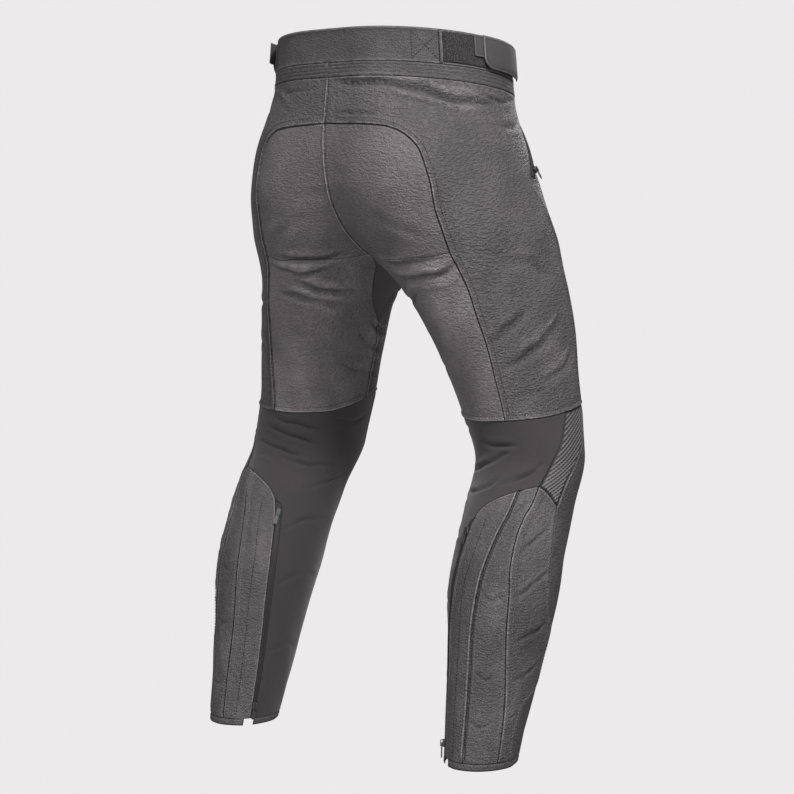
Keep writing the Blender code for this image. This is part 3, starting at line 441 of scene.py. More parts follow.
def uprightRun(u, z0, z1, spacing=outlineStep):
    count = max(1, round(abs(z1 - z0) / spacing))
    return np.stack((np.full(count + 1, u), z0 + (z1 - z0) * np.arange(count + 1) / count), 1)


# Every run that panels share, sampled once
runs = {name: sampleSeam(places) for name, places in seams.items()}
seatTopZ = seams["seatUpper"][0][1] + 0.0025
gussetTopZ = seams["underSeat"][-1][1]
pocketTurns = seams["pocketMouth"][0][0], seams["pocketSeam"][0][0]
hemTurns = {name: seams[name][-1][0] for name in ("shinInside", "shinSeam", "calfSeam", "stripOuter",
                                                  "calfFabric")}
zipFarTurn, zipEndTurn = hemTurns["calfFabric"] + calfZipTurns, 1 + hemTurns["calfFabric"]
sideTurn = 0.50


def edgeAt(z):
    return float(planeTurn(z))


for name, z0, z1 in (("yokeMiddle", ridgeZ, seatTopZ), ("seatMiddle", seatTopZ, gussetTopZ),
                     ("bandMiddleBack", 0.0, bandZ), ("ridgeMiddleBack", bandZ, ridgeZ)):
    runs[name] = middleRun(z0, z1, True)
for name, z0, z1 in (("frontMiddle", ridgeZ, gussetTopZ), ("bandMiddleFront", 0.0, bandZ),
                     ("ridgeMiddleFront", bandZ, ridgeZ)):
    runs[name] = middleRun(z0, z1, False)
runs["yokeSeam"] = sampleSeam((tuple(runs["yokeMiddle"][-1]), seams["seatUpper"][0]))
runs["underSeat"][-1] = runs["gussetBack"][0] = runs["seatMiddle"][-1]
runs["gussetFront"][-1] = runs["frontMiddle"][-1]
runs["ridgePocket"] = levelRun(*pocketTurns, ridgeZ)
for name, turn, z in (("ridgeFront", pocketTurns[0], ridgeZ), ("bandFront", sideTurn, bandZ),
                      ("topFront", sideTurn, 0.0)):
    runs[name] = levelRun(edgeAt(z), turn, z)
for name, turn, z in (("ridgeBack", pocketTurns[1], ridgeZ), ("bandBack", sideTurn, bandZ),
                      ("topBack", sideTurn, 0.0)):
    runs[name] = levelRun(turn, 1 - edgeAt(z), z)
for name, start, end in (("hemShin", "shinInside", "shinSeam"), ("hemOuter", "shinSeam", "calfSeam"),
                         ("hemBack", "calfSeam", "stripOuter"), ("hemStrip", "stripOuter", "calfFabric")):
    runs[name] = levelRun(hemTurns[start], hemTurns[end], hemTopZ)
runs["hemZip"] = levelRun(hemTurns["calfFabric"], zipFarTurn, hemTopZ)
runs["hemFabric"] = levelRun(zipFarTurn, 1 + hemTurns["shinInside"], hemTopZ)
runs["hemRing"] = levelRun(zipFarTurn, zipEndTurn, hemTopZ)
runs["hemEdge"] = levelRun(zipFarTurn, zipEndTurn, hemZ)
for name, turn, z0, z1 in (("sideLine", sideTurn, 0.0, bandZ), ("hemStart", zipFarTurn, hemTopZ, hemZ),
                           ("hemEnd", zipEndTurn, hemTopZ, hemZ)):
    runs[name] = uprightRun(turn, z0, z1)
runs["zipFar"] = runs["calfFabric"] + np.stack(
    (calfZipTurns * smoothStep((seams["archInner"][-1][1] - runs["calfFabric"][:, 1]) / 0.010),
     np.zeros(len(runs["calfFabric"]))), 1)
runs["crotchBack"] = middleRun(crotchZ, gussetTopZ, True, 0.003)
runs["crotchFront"] = middleRun(gussetTopZ, crotchZ, False, 0.003)

# How an edge is finished: lip = height of the turned layers, wide = how far they reach,
# drop = how much the edge rolls in, then how light the edge band is (rubbed wear and partly a
# painted highlight on the raised edge), dark = width of the painted shade line along the seam,
# row = place of the stitch row from the edge. Hundredths for the edge band's lightness, else tenths of a
# millimetre.
edgeNames = ("lip", "wide", "drop", "wearAndPaintedLight", "dark", "row")
edgeNumbers = {
    "none": (0, 30, 0, 0, 1, 0), "plain": (2, 40, 7, 20, 6, 0), "faint": (1, 30, 5, 8, 4, 0),
    "soft": (4, 30, 7, 45, 5, 0), "light": (6, 30, 7, 95, 5, 0), "over": (17, 86, 9, 95, 7, 78),
    "under": (0, 30, 12, 8, 10, 0), "fine": (6, 28, 7, 90, 4, 0), "rolled": (18, 44, 12, 100, 6, 64),
    "turned": (10, 34, 9, 90, 6, 40), "sewn": (9, 54, 11, 50, 8, 44), "groove": (2, 50, 24, 5, 26, 56),
    "hem": (5, 50, 6, 40, 5, 28), "hemEdge": (7, 40, 12, 20, 16, 0), "patch": (0, 20, 3, 0, 4, 0),
    "flap": (-6, 26, 9, 80, 4, 38), "tab": (2, 30, 6, 45, 4, 32), "welt": (0, 12, 4, 0, 3, 0),
}
edgeUnits = (10000, 10000, 10000, 100, 10000, 10000)
edgeLooks = {name: {key: number / unit for key, number, unit in zip(edgeNames, numbers, edgeUnits)}
             for name, numbers in edgeNumbers.items()}
leatherWall = 0.0016

# Panels cut for each leg: the runs round them, where - turns a run about and + moves it on one turn
legPanels = {
    "yoke_thigh": {"slot": "side_leather", "finish": "hipLeather", "runs": {
        "ridgeBack": "soft", "yokeMiddle": "under", "yokeSeam": "over", "seatUpper": "over",
        "seatLower": "over", "-kneeBackOuter": "rolled", "-kneeSide": "rolled",
        "-outerSeam": "over", "-pocketSeam": "fine"}, "leftRuns": {"yokeMiddle": "turned"}},
    "seat": {"slot": "seat_leather", "finish": "seatLeather", "runs": {
        "seatMiddle": "under", "-underSeat": "faint", "-seatUpper": "under", "-yokeSeam": "under"},
        "leftRuns": {"seatMiddle": "turned"}},
    "back_thigh": {"slot": "seat_leather", "finish": "thighLeather", "runs": {
        "underSeat": "faint", "gussetBack": "plain", "+inseam": "plain",
        "-kneeBackInner": "rolled", "-seatLower": "under"}},
    "front_thigh": {"slot": "side_leather", "finish": "hipLeather", "runs": {
        "ridgeFront": "soft", "pocketMouth": "turned", "outerSeam": "plain",
        "-kneeFront": "rolled", "-kneeInside": "rolled", "-inseam": "over",
        "gussetFront": "plain", "-frontMiddle": "plain"}},
    "pocket": {"slot": "side_leather", "finish": "hipLeather", "runs": {
        "ridgePocket": "soft", "pocketSeam": "plain", "-pocketMouth": "plain"}},
    "knee_fabric": {"slot": "stretch_fabric", "wall": 0.0013, "finish": "stretchFabric", "runs": {
        "kneeBackOuter": "plain", "kneeBackInner": "plain", "+kneeInside": "plain",
        "+shinInside": "plain", "-hemFabric": "plain", "-zipFar": "faint",
        "-archInner": "plain", "-archOuter": "plain", "-ribBack": "plain"}},
    "knee_ribs": {"slot": "dark_leather", "finish": "ribLeather", "ribs": True, "runs": {
        "kneeSide": "plain", "ribBack": "plain", "ribLow": "plain", "-ribFront": "plain"}},
    "shin": {"slot": "dark_leather", "finish": "darkLeather", "runs": {
        "kneeFront": "plain", "ribFront": "turned", "shinSeam": "plain", "-hemShin": "plain",
        "-shinInside": "turned"}},
    "calf_outer": {"slot": "dark_leather", "finish": "calfLeather", "runs": {
        "ribLow": "turned", "shinSeam": "sewn", "hemOuter": "plain", "-calfSeam": "over"}},
    "calf_back": {"slot": "side_leather", "finish": "calfLeather", "runs": {
        "calfSeam": "sewn", "hemBack": "plain", "-stripOuter": "groove", "-archOuter": "turned"}},
    "calf_strip": {"slot": "side_leather", "finish": "calfLeather", "runs": {
        "archInner": "turned", "calfFabric": "turned", "-hemStrip": "plain",
        "-stripOuter": "rolled"}},
    "calf_zip": {"slot": "zip_tape", "wall": 0.0012, "finish": "zipTape", "runs": {
        "calfFabric": "plain", "hemZip": "plain", "-zipFar": "faint"}},
    "hem": {"slot": "dark_leather", "finish": "darkLeather", "runs": {
        "hemRing": "hem", "hemEnd": "plain", "-hemEdge": "hemEdge", "-hemStart": "plain"}},
    "waistband_front": {"slot": "side_leather", "finish": "bandLeather", "runs": {
        "topFront": "turned", "sideLine": "plain", "-bandFront": "light",
        "-bandMiddleFront": "plain"}},
    "ridged_band": {"slot": "dark_leather", "finish": "darkLeather", "ridges": True,
                    "runs": {"bandFront": "plain", "bandBack": "plain", "ridgeMiddleBack": "none",
                             "-ridgeBack": "plain", "-ridgePocket": "plain", "-ridgeFront": "plain",
                             "-ridgeMiddleFront": "none"}},
}


def takeRun(name):
    found = runs[name.lstrip("+-")] + (1 if "+" in name else 0, 0)
    return found[::-1] if "-" in name else found


# What lies on the panels, and the pieces that cross the middle: own outlines, moved out by lift
def ring(*sides):
    return {f"{name}#{i}": (run, look) for i, (name, run, look) in enumerate(sides)}


def lineRun(*places):
    return sampleSeam(places, 0.0030) if len(places) > 2 else np.array(
        [np.array(places[0]) + (np.array(places[1]) - places[0]) * t for t in np.linspace(0, 1, 9)])


def strip(start, end, top, low, *edges):
    corners = ((start, top), (end, top), (end, low), (start, low))
    return ring(*((name, lineRun(corners[i], corners[(i + 1) % 4]), edges[i % len(edges)])
                  for i, name in enumerate(("top", "end", "low", "start"))))


def flapRing(pulled):
    start, end, top, low = 0.395, 0.528 + pulled, -0.0008, -0.042
    corners = ((end + 0.0005, -0.030), (end - 0.002, -0.035), (end - 0.008, -0.0395), (end - 0.017, low))
    lines = {"top": ((start, top), (end, top)), "end": ((end, top), corners[0]), "round": corners,
             "low": (corners[-1], (start, low)), "start": ((start, low), (start, top))}
    return ring(*((name, lineRun(*places), "flap") for name, places in lines.items()))


# the left strap is pulled further back than the right one
strapPull = {1: 0.055, -1: 0.0}
strapFlare = (0.568, 0.604, 0.0080)
overlays = {
    "hook_patch": {"slot": "hook_patch", "wall": 0.0014, "lift": 0.0019, "finish": "hookPile", "step": 0.0026,
                   "rings": {side: strip(0.520, 0.598, -0.004, -0.041, "patch") for side in strapPull}},
    "band_end": {"slot": "side_leather", "wall": 0.0012, "lift": 0.0017, "finish": "bandLeather",
                 "rings": {side: strip(0.5985, 0.6032, -0.0012, -0.0425, "none", "none", "none", "rolled")
                           for side in strapPull}},
    "adjuster_tab": {"slot": "dark_leather", "wall": 0.0014, "lift": 0.0040, "finish": "flapLeather",
                     "flare": strapFlare,
                     "rings": {side: strip(0.524 + pulled, 0.545 + pulled, -0.0012, -0.029, "tab")
                               for side, pulled in strapPull.items()}},
    "adjuster_flap": {"slot": "dark_leather", "wall": 0.0026, "lift": 0.0066, "finish": "flapLeather",
                      "flare": strapFlare,
                      "rings": {side: flapRing(pulled) for side, pulled in strapPull.items()}},
}
mouthRun = sampleSeam(seams["pocketMouth"], 0.014)[2:-1]
mouthFine = sampleSeam(tuple(map(tuple, mouthRun)), 0.003)
tapeReach = (0.009, 0.0012)
overlays["pocket_zip"] = {
    "slot": "zip_tape", "wall": 0.0012, "lift": 0.0017, "finish": "zipTape", "rings": {side: ring(
        ("upper", mouthFine + tapeReach, "welt"),
        ("far", lineRun(mouthFine[-1] + tapeReach, mouthFine[-1] - tapeReach), "welt"),
        ("lower", mouthFine[::-1] - tapeReach, "welt"),
        ("near", lineRun(mouthFine[0] - tapeReach, mouthFine[0] + tapeReach), "welt"))
        for side in strapPull}}
flyLow, flyTop = -0.2050, -0.0660
flyHeights = np.linspace(flyLow, flyTop, 41)
flyWidth = 0.060 * np.minimum(1.0, (flyHeights - flyLow) / 0.035 + 0.25)
flyFar = np.stack((planeTurn(flyHeights) + flyWidth, flyHeights), 1)
flyNear = np.stack((planeTurn(flyHeights[::-1]) + 0.004, flyHeights[::-1]), 1)
flyFlap = {"slot": "side_leather", "lift": 0.0026, "finish": "hipLeather", "ring": ring(
    ("near", flyNear, "turned"), ("low", lineRun(flyNear[-1], flyFar[0]), "over"),
    ("far", flyFar, "over"), ("top", lineRun(flyFar[-1], flyNear[0]), "plain"))}


def closureRing(reach):
    top, low = -0.006, -0.038
    start, end = edgeAt(top), edgeAt(top) + reach
    return ring(("middle", middleRun(low, top, False, 0.003), "plain"),
                ("top", lineRun((start, top), (end, top)), "tab"),
                ("end", lineRun((end, top), (end, low)), "tab"),
                ("low", lineRun((end, low), (edgeAt(low), low)), "tab"))


crossing = {
    "waistband_back": {"slot": "side_leather", "finish": "bandLeather", "rings": {
        side: ring(("top", runs["topBack"], "turned"), ("middle", runs["bandMiddleBack"], "plain"),
                   ("low", runs["bandBack"][::-1], "light"), ("side", runs["sideLine"][::-1], "plain"))
        for side in (1, -1)}},
    "gusset": {"slot": "stretch_fabric", "wall": 0.0013, "finish": "stretchFabric", "byTurn": True,
               "underCrotch": True, "rings": {
        side: ring(("back", runs["gussetBack"], "plain"),
                   ("front", runs["gussetFront"] + (1, 0), "plain"),
                   ("frontMiddle", runs["crotchFront"][:-1] + (1, 0), "plain"),
                   ("bottom", np.array([(1.0, crotchZ)]), "plain"),
                   ("backMiddle", runs["crotchBack"][1:], "plain")) for side in (1, -1)}},
    "closure_tab": {"slot": "dark_leather", "lift": 0.0021, "finish": "flapLeather",
                    "rings": {1: closureRing(0.052), -1: closureRing(0.030)}},
}


# Flat geometry in the cutting plan
def edgeGap(points, outline):
    a, b = outline, np.roll(outline, -1, 0)
    run = b - a
    squared = np.maximum((run**2).sum(1), 1e-16)
    gaps = np.empty(len(points))
    for start in range(0, len(points), 1500):
        p = points[start:start + 1500, None]
        t = np.clip(((p - a) * run).sum(2) / squared, 0, 1)
        gap = np.sqrt(((p - a - t[..., None] * run)**2).sum(2)).min(1)
        above = (a[:, 1] > p[..., 1]) != (b[:, 1] > p[..., 1])
        rise = np.where(np.abs(run[:, 1]) < 1e-12, 1e-12, run[:, 1])
        crossAt = a[:, 0] + (p[..., 1] - a[:, 1]) * run[:, 0] / rise
        inside = (above & (p[..., 0] < crossAt)).sum(1) % 2 == 1
        gaps[start:start + 1500] = np.where(inside, gap, -gap)
    return gaps      # below 0 outside


def insetOutline(points, distance, held=None):
    before, after = unit(points - np.roll(points, 1, 0)), unit(np.roll(points, -1, 0) - points)
    nextPoint = np.roll(points, -1, 0)
    area = (points[:, 0] * nextPoint[:, 1] - nextPoint[:, 0] * points[:, 1]).sum()
    corner = np.stack((-(before + after)[:, 1], (before + after)[:, 0]), 1) * np.sign(area)
    scale = np.maximum((corner**2).sum(1) / 2, 0.35)
    distance = np.broadcast_to(distance, len(points))
    moved = points + corner * (distance / scale)[:, None]
    if held is not None:
        for i in np.flatnonzero(held):
            ahead = held[(i + 1) % len(points)]
            along = 0 if ahead and held[i - 1] else (after[i] if ahead else -before[i])
            moved[i] = points[i] + along * distance[i]
    return moved


def gridPlaces(edge, step, margin):
    low, high = edge.min(0), edge.max(0)
    rows = np.arange(math.floor(low[1] / step), math.ceil(high[1] / step) + 1)
    columns = np.arange(math.floor(low[0] / step) - 1, math.ceil(high[0] / step) + 1)
    x, y = np.meshgrid(columns * step, rows * step)
    x = x + (rows % 2)[:, None] * step / 2
    places = np.stack((x.ravel(), y.ravel()), 1)
    return places[edgeGap(places, edge) > margin]


def foldPlaces(side, across, edge, margin):
    found = []
    turn, z = foldRowsBeside(side).T
    low, high = edge.min(0), edge.max(0)
    for turns in (-1, 0, 1):
        places = np.stack((across(turn + turns, z), z), 1)
        near = np.all((places > low) & (places < high), axis=1) & (np.abs(turn + turns - 0.6) < 1.1)
        places = places[near]
        found.append(places[edgeGap(places, edge) > margin])
    return np.concatenate(found)


def ribPhase(turn, z):
    return (z - turn * turnWidth * ribSlope) / (ribPitch * math.hypot(1, ribSlope))


def ribPlaces(turns, heights, step=0.0042):
    phases = ribPhase(turns, heights)
    found = []
    lines = 8
    for line in range(math.floor(phases.min() * lines), math.ceil(phases.max() * lines) + 1):
        x = np.arange(turns.min() * turnWidth, turns.max() * turnWidth, step) + step / 2 * (line % 2)
        z = line / lines * ribPitch * math.hypot(1, ribSlope) + x * ribSlope
        found.append(np.stack((x / turnWidth, z), 1))
    return np.concatenate(found)


# A piece's own relief over the body form
ridgeLook = {"count": 4, "rise": 0.0009, "sway": 0.03}
ribLook = {"rise": 0.0016, "start": 0.0006, "ramp": 0.0030}
reliefLook = {"foldShade": 0.0024, "lipRamp": 0.0018, "leastRoll": 0.0009, "stitchDip": 0.00035,
              "stitchWidth": 0.0009}


def relief(piece, turn, z):
    side = piece["side"]
    base, normal = bodyPoint(side, turn, z), bodyNormal(side, turn, z)
    found = [piece["tree"].find(p)[1:] for p in base]
    gap = np.array([f[1] for f in found])
    lip, wide, drop, wearAndPaintedLight, dark, row = piece["styles"][[f[0] for f in found]].T
    folds = foldHeight(side, turn, z) + billow(side, turn, z)
    # painted shade and highlight: the fold height as a number that darkens fold troughs and lightens fold
    # crests in the materials
    shade = np.clip(folds / reliefLook["foldShade"], -1, 1)
    if piece["flare"] and side > 0:      # the left strap's free end stands off
        start, end, rise = piece["flare"]
        folds = folds + rise * smoothStep((turn - start) / (end - start))
    edge = (lip * (1 - smoothStep((gap - wide) / reliefLook["lipRamp"] + 0.5))
            - drop * np.exp(-(gap / np.maximum(dark, reliefLook["leastRoll"]))**2))
    beside = (gap - row) / reliefLook["stitchWidth"]
    edge -= np.where(row > 0, reliefLook["stitchDip"], 0) * np.exp(-beside**2)
    extra = np.zeros(len(gap))
    if piece.get("ribs"):
        f = np.mod(ribPhase(turn, z) + 0.5, 1.0) * 2 - 1
        rise = ribLook["rise"] * (np.sqrt(np.maximum(1 - f**2, 0)) - 0.1)
        extra = rise * smoothStep((gap - ribLook["start"]) / ribLook["ramp"])
    if piece.get("ridges"):
        t = (z - bandZ) / (ridgeZ - bandZ)
        sway = ridgeLook["sway"] * np.sin(turn * 31 + 2 * side)
        uneven = 0.75 + 0.25 * np.sin(turn * 23 + 1.3 + 4 * t)
        extra = ridgeLook["rise"] * uneven * np.abs(np.sin(math.pi * ridgeLook["count"] * (t + sway)))**0.8
    return {"base": base, "normal": normal, "folds": folds, "height": folds + edge + extra, "gap": gap,
            "wearAndPaintedLight": wearAndPaintedLight, "dark": dark, "shade": shade, "extra": extra}


# Rows of faces along an edge, and how far other faces keep from it
edgeRowsLook = {"first": 0.0008, "second": 0.0021, "least": 0.0012, "beforeLip": 0.0002,
                "afterLip": 0.0014, "good": 0.85}
marginLook = {"open": 0.0074, "narrow": 0.0030, "crease": 0.0040, "rib": 0.0022, "ridge": 0.0007,
              "apart": 0.0019}
ridgeStep = 0.0050


def nearby(a, b):
    return np.hypot(*((a - b) * (turnWidth, 1))) < 1e-6


def makeSide(side, sides, look):
    # sides: run name -> (places, edge look); gives the vertices and faces of one side's solid
    lift, wall = look.get("lift", 0.0), look.get("wall", leatherWall)
    step = look.get("step", clothStep)
    byTurn = look.get("byTurn", False)
    across = (lambda u, z: u * turnWidth) if byTurn else (lambda u, z: toPlan(side, u, z))
    back = (lambda x, z: x / turnWidth) if byTurn else (lambda x, z: fromPlan(side, x, z))
    places, styles, owner = [], [], []
    for runName, (run, edgeName) in sides.items():
        edgeStyle = list(edgeLooks[edgeName].values())
        for place in run:
            if places and nearby(place, places[-1]):
                continue
            places.append(place)
            styles.append(edgeStyle)
            owner.append(runName)
    if nearby(places[0], places[-1]):
        places, styles, owner = places[:-1], styles[:-1], owner[:-1]
    places, styles = np.array(places), np.array(styles)
    turn, z = places.T
    edgeTurns = planeTurn(z)
    nearPlane = np.min([np.abs(turn - mark) for mark in (edgeTurns, 1 - edgeTurns, 1 + edgeTurns)], 0) < 1e-5
    held = (z > crotchZ - 1e-6) & nearPlane if look.get("crosses") else np.zeros(len(z), bool)
    plan = np.stack((across(turn, z), z), 1)
    joined = np.array([sides[name][1] == "none" for name in owner])
    edge = insetOutline(plan, seamGap * 0.6, held)
    # distances to the edge are measured on the body, from closely spaced places along it
    parts = np.arange(8)[:, None, None] / 8
    between = (plan + (np.roll(plan, -1, 0) - plan) * parts).transpose(1, 0, 2).reshape(-1, 2)
    openMiddle = held & np.roll(held, -1)
    fineKeep = ~np.repeat(openMiddle, 8)
    soft = np.mean([np.roll(styles, k, 0) for k in (-1, 0, 1)], 0)
    soft[:, 5] = styles[:, 5]
    fineStyles = np.repeat(soft, 8, 0)[fineKeep]
    finePlaces = bodyPoint(side, back(between[:, 0], between[:, 1]), between[:, 1])[fineKeep]
    tree = KDTree(len(finePlaces))
    for i, point in enumerate(finePlaces):
        tree.insert(point, i)
    tree.balance()
    piece = {"side": side, "tree": tree, "styles": fineStyles, "lift": lift,
             "ribs": look.get("ribs"), "ridges": look.get("ridges"), "flare": look.get("flare"),
             "edge": edge, "owner": owner, "sides": sides, "across": across, "back": back}
    # rows that follow the edge, then the open middle of the piece
    found = []
    wide = styles[:, 1]
    rows = edgeRowsLook
    for distance in (rows["first"] + 0 * wide, rows["second"] + 0 * wide, wide - rows["beforeLip"],
                     wide + rows["afterLip"]):
        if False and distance[0] == rows["second"]:
            continue
        kept = np.maximum(distance, rows["least"]) if distance[0] > 0.001 else distance
        rowPlaces = insetOutline(edge, kept)
        good = (edgeGap(rowPlaces, edge) > distance * rows["good"]) & ~held
        found.append(rowPlaces[good])
    if look.get("ribs"):
        turns, heights = ribPlaces(turn, z).T
        middle = np.stack((across(turns, heights), heights), 1)
        middle = middle[edgeGap(middle, edge) > marginLook["rib"]]
    elif look.get("ridges"):
        heights = np.linspace(bandZ, ridgeZ, 25)[1:-1]
        xs = np.arange(plan[:, 0].min(), plan[:, 0].max(), ridgeStep)
        middle = np.stack([v.ravel() for v in np.meshgrid(xs, heights)], 1)
        middle = middle[edgeGap(middle, edge) > marginLook["ridge"]]
        found = []
    else:
        middle = gridPlaces(edge, step, marginLook["open"])
        narrow = gridPlaces(edge, step, step * 0.55)
        if len(middle) < 12:
            middle = narrow[edgeGap(narrow, edge) > marginLook["narrow"]]
        if not lift:
            creases = foldPlaces(side, across, edge, marginLook["crease"])
            if len(creases):
                apart = np.array([np.hypot(*(creases - place).T).min() for place in middle])
                middle = np.concatenate((middle[apart > marginLook["apart"]], creases))
    everything = np.concatenate([edge] + found + [middle])
    result = delaunay_2d_cdt([Vector(p) for p in everything], [], [list(range(len(edge)))], 1, 1e-7, True)
    points = np.array([tuple(v) for v in result[0]])
    faces = np.array([face for face in result[2] if len(face) == 3])
    faces = faces[edgeGap(points[faces].mean(1), edge) > 0]
    rim = {original: index for index, source in enumerate(result[3]) for original in source}
    onPlane = np.zeros(len(points), bool)
    onPlane[[rim[i] for i in np.flatnonzero(held)]] = True
    sewnMiddle = [rim[i] for i in np.flatnonzero((z > crotchZ) & nearPlane & ~held)]
    turns, heights = back(points[:, 0], points[:, 1]), points[:, 1]
    own = relief(piece, turns, heights)
    outer = own["base"] + own["normal"] * (lift + own["height"])[:, None]
    inner = own["base"] + own["normal"] * (lift - wall + own["folds"])[:, None]
    for cloth, out in ((outer, lift + own["height"]), (inner, lift - wall + own["folds"])):
        cloth[:, 0] = side * np.maximum(cloth[:, 0] * side, seamGap / 2)
        cloth[sewnMiddle, 0] = side * seamGap / 2
        if onPlane.any():
            u, h = turns[onPlane], heights[onPlane]
            u = np.where(np.mod(u, 1) < 0.5, planeTurn(h), 1 - planeTurn(h))
            two = [bodyPoint(s, u, h) + bodyNormal(s, u, h) * (out[onPlane])[:, None] for s in (1, -1)]
            cloth[onPlane] = (two[0] + two[1]) / 2
            cloth[onPlane, 0] = 0
    a, b, c = (outer[faces[:, k]] for k in range(3))
    crosses = np.cross(b - a, c - a)
    if (crosses * own["normal"][faces[:, 0]]).sum() < 0:
        faces = faces[:, ::-1]
    area = np.linalg.norm(crosses, axis=1).sum() / 2
    count = len(points)
    walls, piece["sharp"], piece["area"] = [], [], area
    for i in range(len(edge)):
        j = (i + 1) % len(edge)
        if joined[i]:
            piece["sharp"].append((rim[i], rim[j]))
        if not (held[i] and held[j]):
            walls.append((rim[i], rim[j], rim[j] + count, rim[i] + count))
    piece["planArea"] = np.abs(np.cross(points[faces[:, 1]] - points[faces[:, 0]],
                                        points[faces[:, 2]] - points[faces[:, 0]])).sum() / 2
    mirrored = -1 if side < 0 and look.get("crosses") else 1
    piece["flat"] = points * (mirrored, 1)
    data = {key: own[key] for key in attributeNames}
    return piece, outer, inner, faces, walls, data


def cutSize(flats, area, planArea, underCrotch):
    # a piece that crosses the middle is its two halves joined, side by side or end to end
    if len(flats) > 1:
        spans = np.array([np.ptp(half, axis=0) for half in flats])
        wide, long = spans.T
        whole = (wide.max(), long.sum()) if underCrotch else (wide.sum(), long.max())
        return np.array(whole) * math.sqrt(max(area / planArea, 1.0)) * 1.002
    # a long bent strip counts at its own width and length
    flat = flats[0]
    half = np.hypot(*(flat - np.roll(flat, -1, 0)).T).sum() / 2
    strip = (half + math.sqrt(max(half**2 - 4 * area, 0))) / 2
    if area / strip < 0.14 * strip:
        return np.array((area / strip, strip)) * 1.001
    # others take the smallest upright or turned rectangle round the cut, with the cloth in their relief
    best = None
    for angle in np.radians(np.arange(0, 90, 3)):
        turned = flat @ np.array(((math.cos(angle), -math.sin(angle)), (math.sin(angle), math.cos(angle))))
        span = turned.max(0) - turned.min(0)
        if best is None or span.prod() < best.prod():
            best = span
    return best * math.sqrt(max(area / planArea, 1.0)) * 1.002


attributeNames = ("gap", "wearAndPaintedLight", "dark", "shade", "extra")
insideGap = 0.004     # the inside of the cloth has no worn edges
leastSize = 0.0101    # a sheet's least width
clothPieces = {}      # name -> list of one piece for each side it has


def addObject(name, data):
    obj = bpy.data.objects.new(name, data)
    bpy.context.scene.collection.objects.link(obj)
    return obj


def makeCloth(name, look, sidesOf):
    made = [makeSide(side, sides, look) for side, sides in sidesOf.items()]
    verts, faces, offset = [], [], 0
    attributes = {key: [] for key in attributeNames}
    flats, sharp = [], []
    for piece, outer, inner, tris, walls, data in made:
        sharp += [(a + offset, b + offset) for a, b in piece["sharp"]]
        verts += [outer, inner]
        faces += (tris + offset).tolist() + (tris[:, ::-1] + offset + len(outer)).tolist()
        faces += [[v + offset for v in wall] for wall in walls]
        offset += 2 * len(outer)
        flats += [piece["flat"], piece["flat"]]
        for key in attributes:
            attributes[key] += [data[key], data[key] if key != "gap" else data[key] * 0 + insideGap]
    mesh = bpy.data.meshes.new(name)
    mesh.from_pydata(np.concatenate(verts).tolist(), [], faces)
    for key, values in attributes.items():
        values = np.concatenate(values)
        mesh.attributes.new(key, "FLOAT", "POINT").data.foreach_set("value", values.astype(np.float32))
    flat = np.concatenate(flats)
    corners = np.empty(len(mesh.loops), np.int32)
    mesh.loops.foreach_get("vertex_index", corners)
    mesh.uv_layers.new(name="cut").data.foreach_set("uv", flat[corners].astype(np.float32).ravel())
    shell = bmesh.new()
    shell.from_mesh(mesh)
    shell.verts.ensure_lookup_table()
    for pair in sharp:
        shell.edges.get([shell.verts[i] for i in pair]).smooth = False
    bmesh.ops.remove_doubles(shell, verts=shell.verts, dist=1e-6)
    bmesh.ops.recalc_face_normals(shell, faces=shell.faces)
    shell.to_mesh(mesh)
    shell.free()
    mesh.shade_smooth()
    obj = addObject(name + "_cloth", mesh)
    mesh.materials.append(finishes[look["finish"]])
    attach(obj, "root")
    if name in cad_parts:
        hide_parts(name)
    area = sum(piece["area"] for piece, *_ in made)
    planArea = sum(piece["planArea"] for piece, *_ in made)
    width, length = cutSize([piece["edge"] for piece, *_ in made], area, planArea, look.get("underCrotch"))
    width, length = max(width, leastSize), max(length, leastSize)
    clothPieces[name] = [piece for piece, *_ in made]


# Node helpers: a socket or a number goes in, a socket comes out
def link(tree, value, socket):
    if hasattr(value, "is_output"):
        tree.links.new(value, socket)
    else:
        socket.default_value = value


def addNode(tree, kind, inputs=None, **settings):
    node = tree.nodes.new(kind)
    for key, value in settings.items():
        setattr(node, key, value)
    for key, value in (inputs or {}).items():
        link(tree, value, node.inputs[key])
    return node.outputs


def mathNode(tree, operation, a, b=0.0, clamp=False):
    return addNode(tree, "ShaderNodeMath", {0: a, 1: b}, operation=operation, use_clamp=clamp)[0]


def times(tree, a, b):
    return mathNode(tree, "MULTIPLY", a, b)


def plus(tree, a, b, clamp=False):
    return mathNode(tree, "ADD", a, b, clamp)


def mapRange(tree, value, low, high, to0=0.0, to1=1.0, kind="SMOOTHSTEP"):
    inputs = dict(enumerate((value, low, high, to0, to1)))
    return addNode(tree, "ShaderNodeMapRange", inputs, interpolation_type=kind)[0]


def mixColour(tree, factor, a, b):
    a, b = ((*value, 1) if isinstance(value, tuple) else value for value in (a, b))
    return addNode(tree, "ShaderNodeMix", {0: factor, 6: a, 7: b}, data_type="RGBA")[2]


def noise(tree, vector, scale, detail=2.0, rough=0.5):
    inputs = {"Vector": vector, "Scale": scale, "Detail": detail, "Roughness": rough}
    return addNode(tree, "ShaderNodeTexNoise", inputs)["Fac"]


def newGroup(name, inputs, outputs):
    # a group with float inputs and outputs; an input with no number is a place
    tree = bpy.data.node_groups.new(name, "ShaderNodeTree")
    for label, value in inputs.items():
        kind = "NodeSocketVector" if value is None else "NodeSocketFloat"
        socket = tree.interface.new_socket(label, in_out="INPUT", socket_type=kind)
        if value is not None:
            socket.default_value = value
    for label in outputs:
        tree.interface.new_socket(label, in_out="OUTPUT", socket_type="NodeSocketFloat")
    return tree, tree.nodes.new("NodeGroupInput").outputs, tree.nodes.new("NodeGroupOutput").inputs


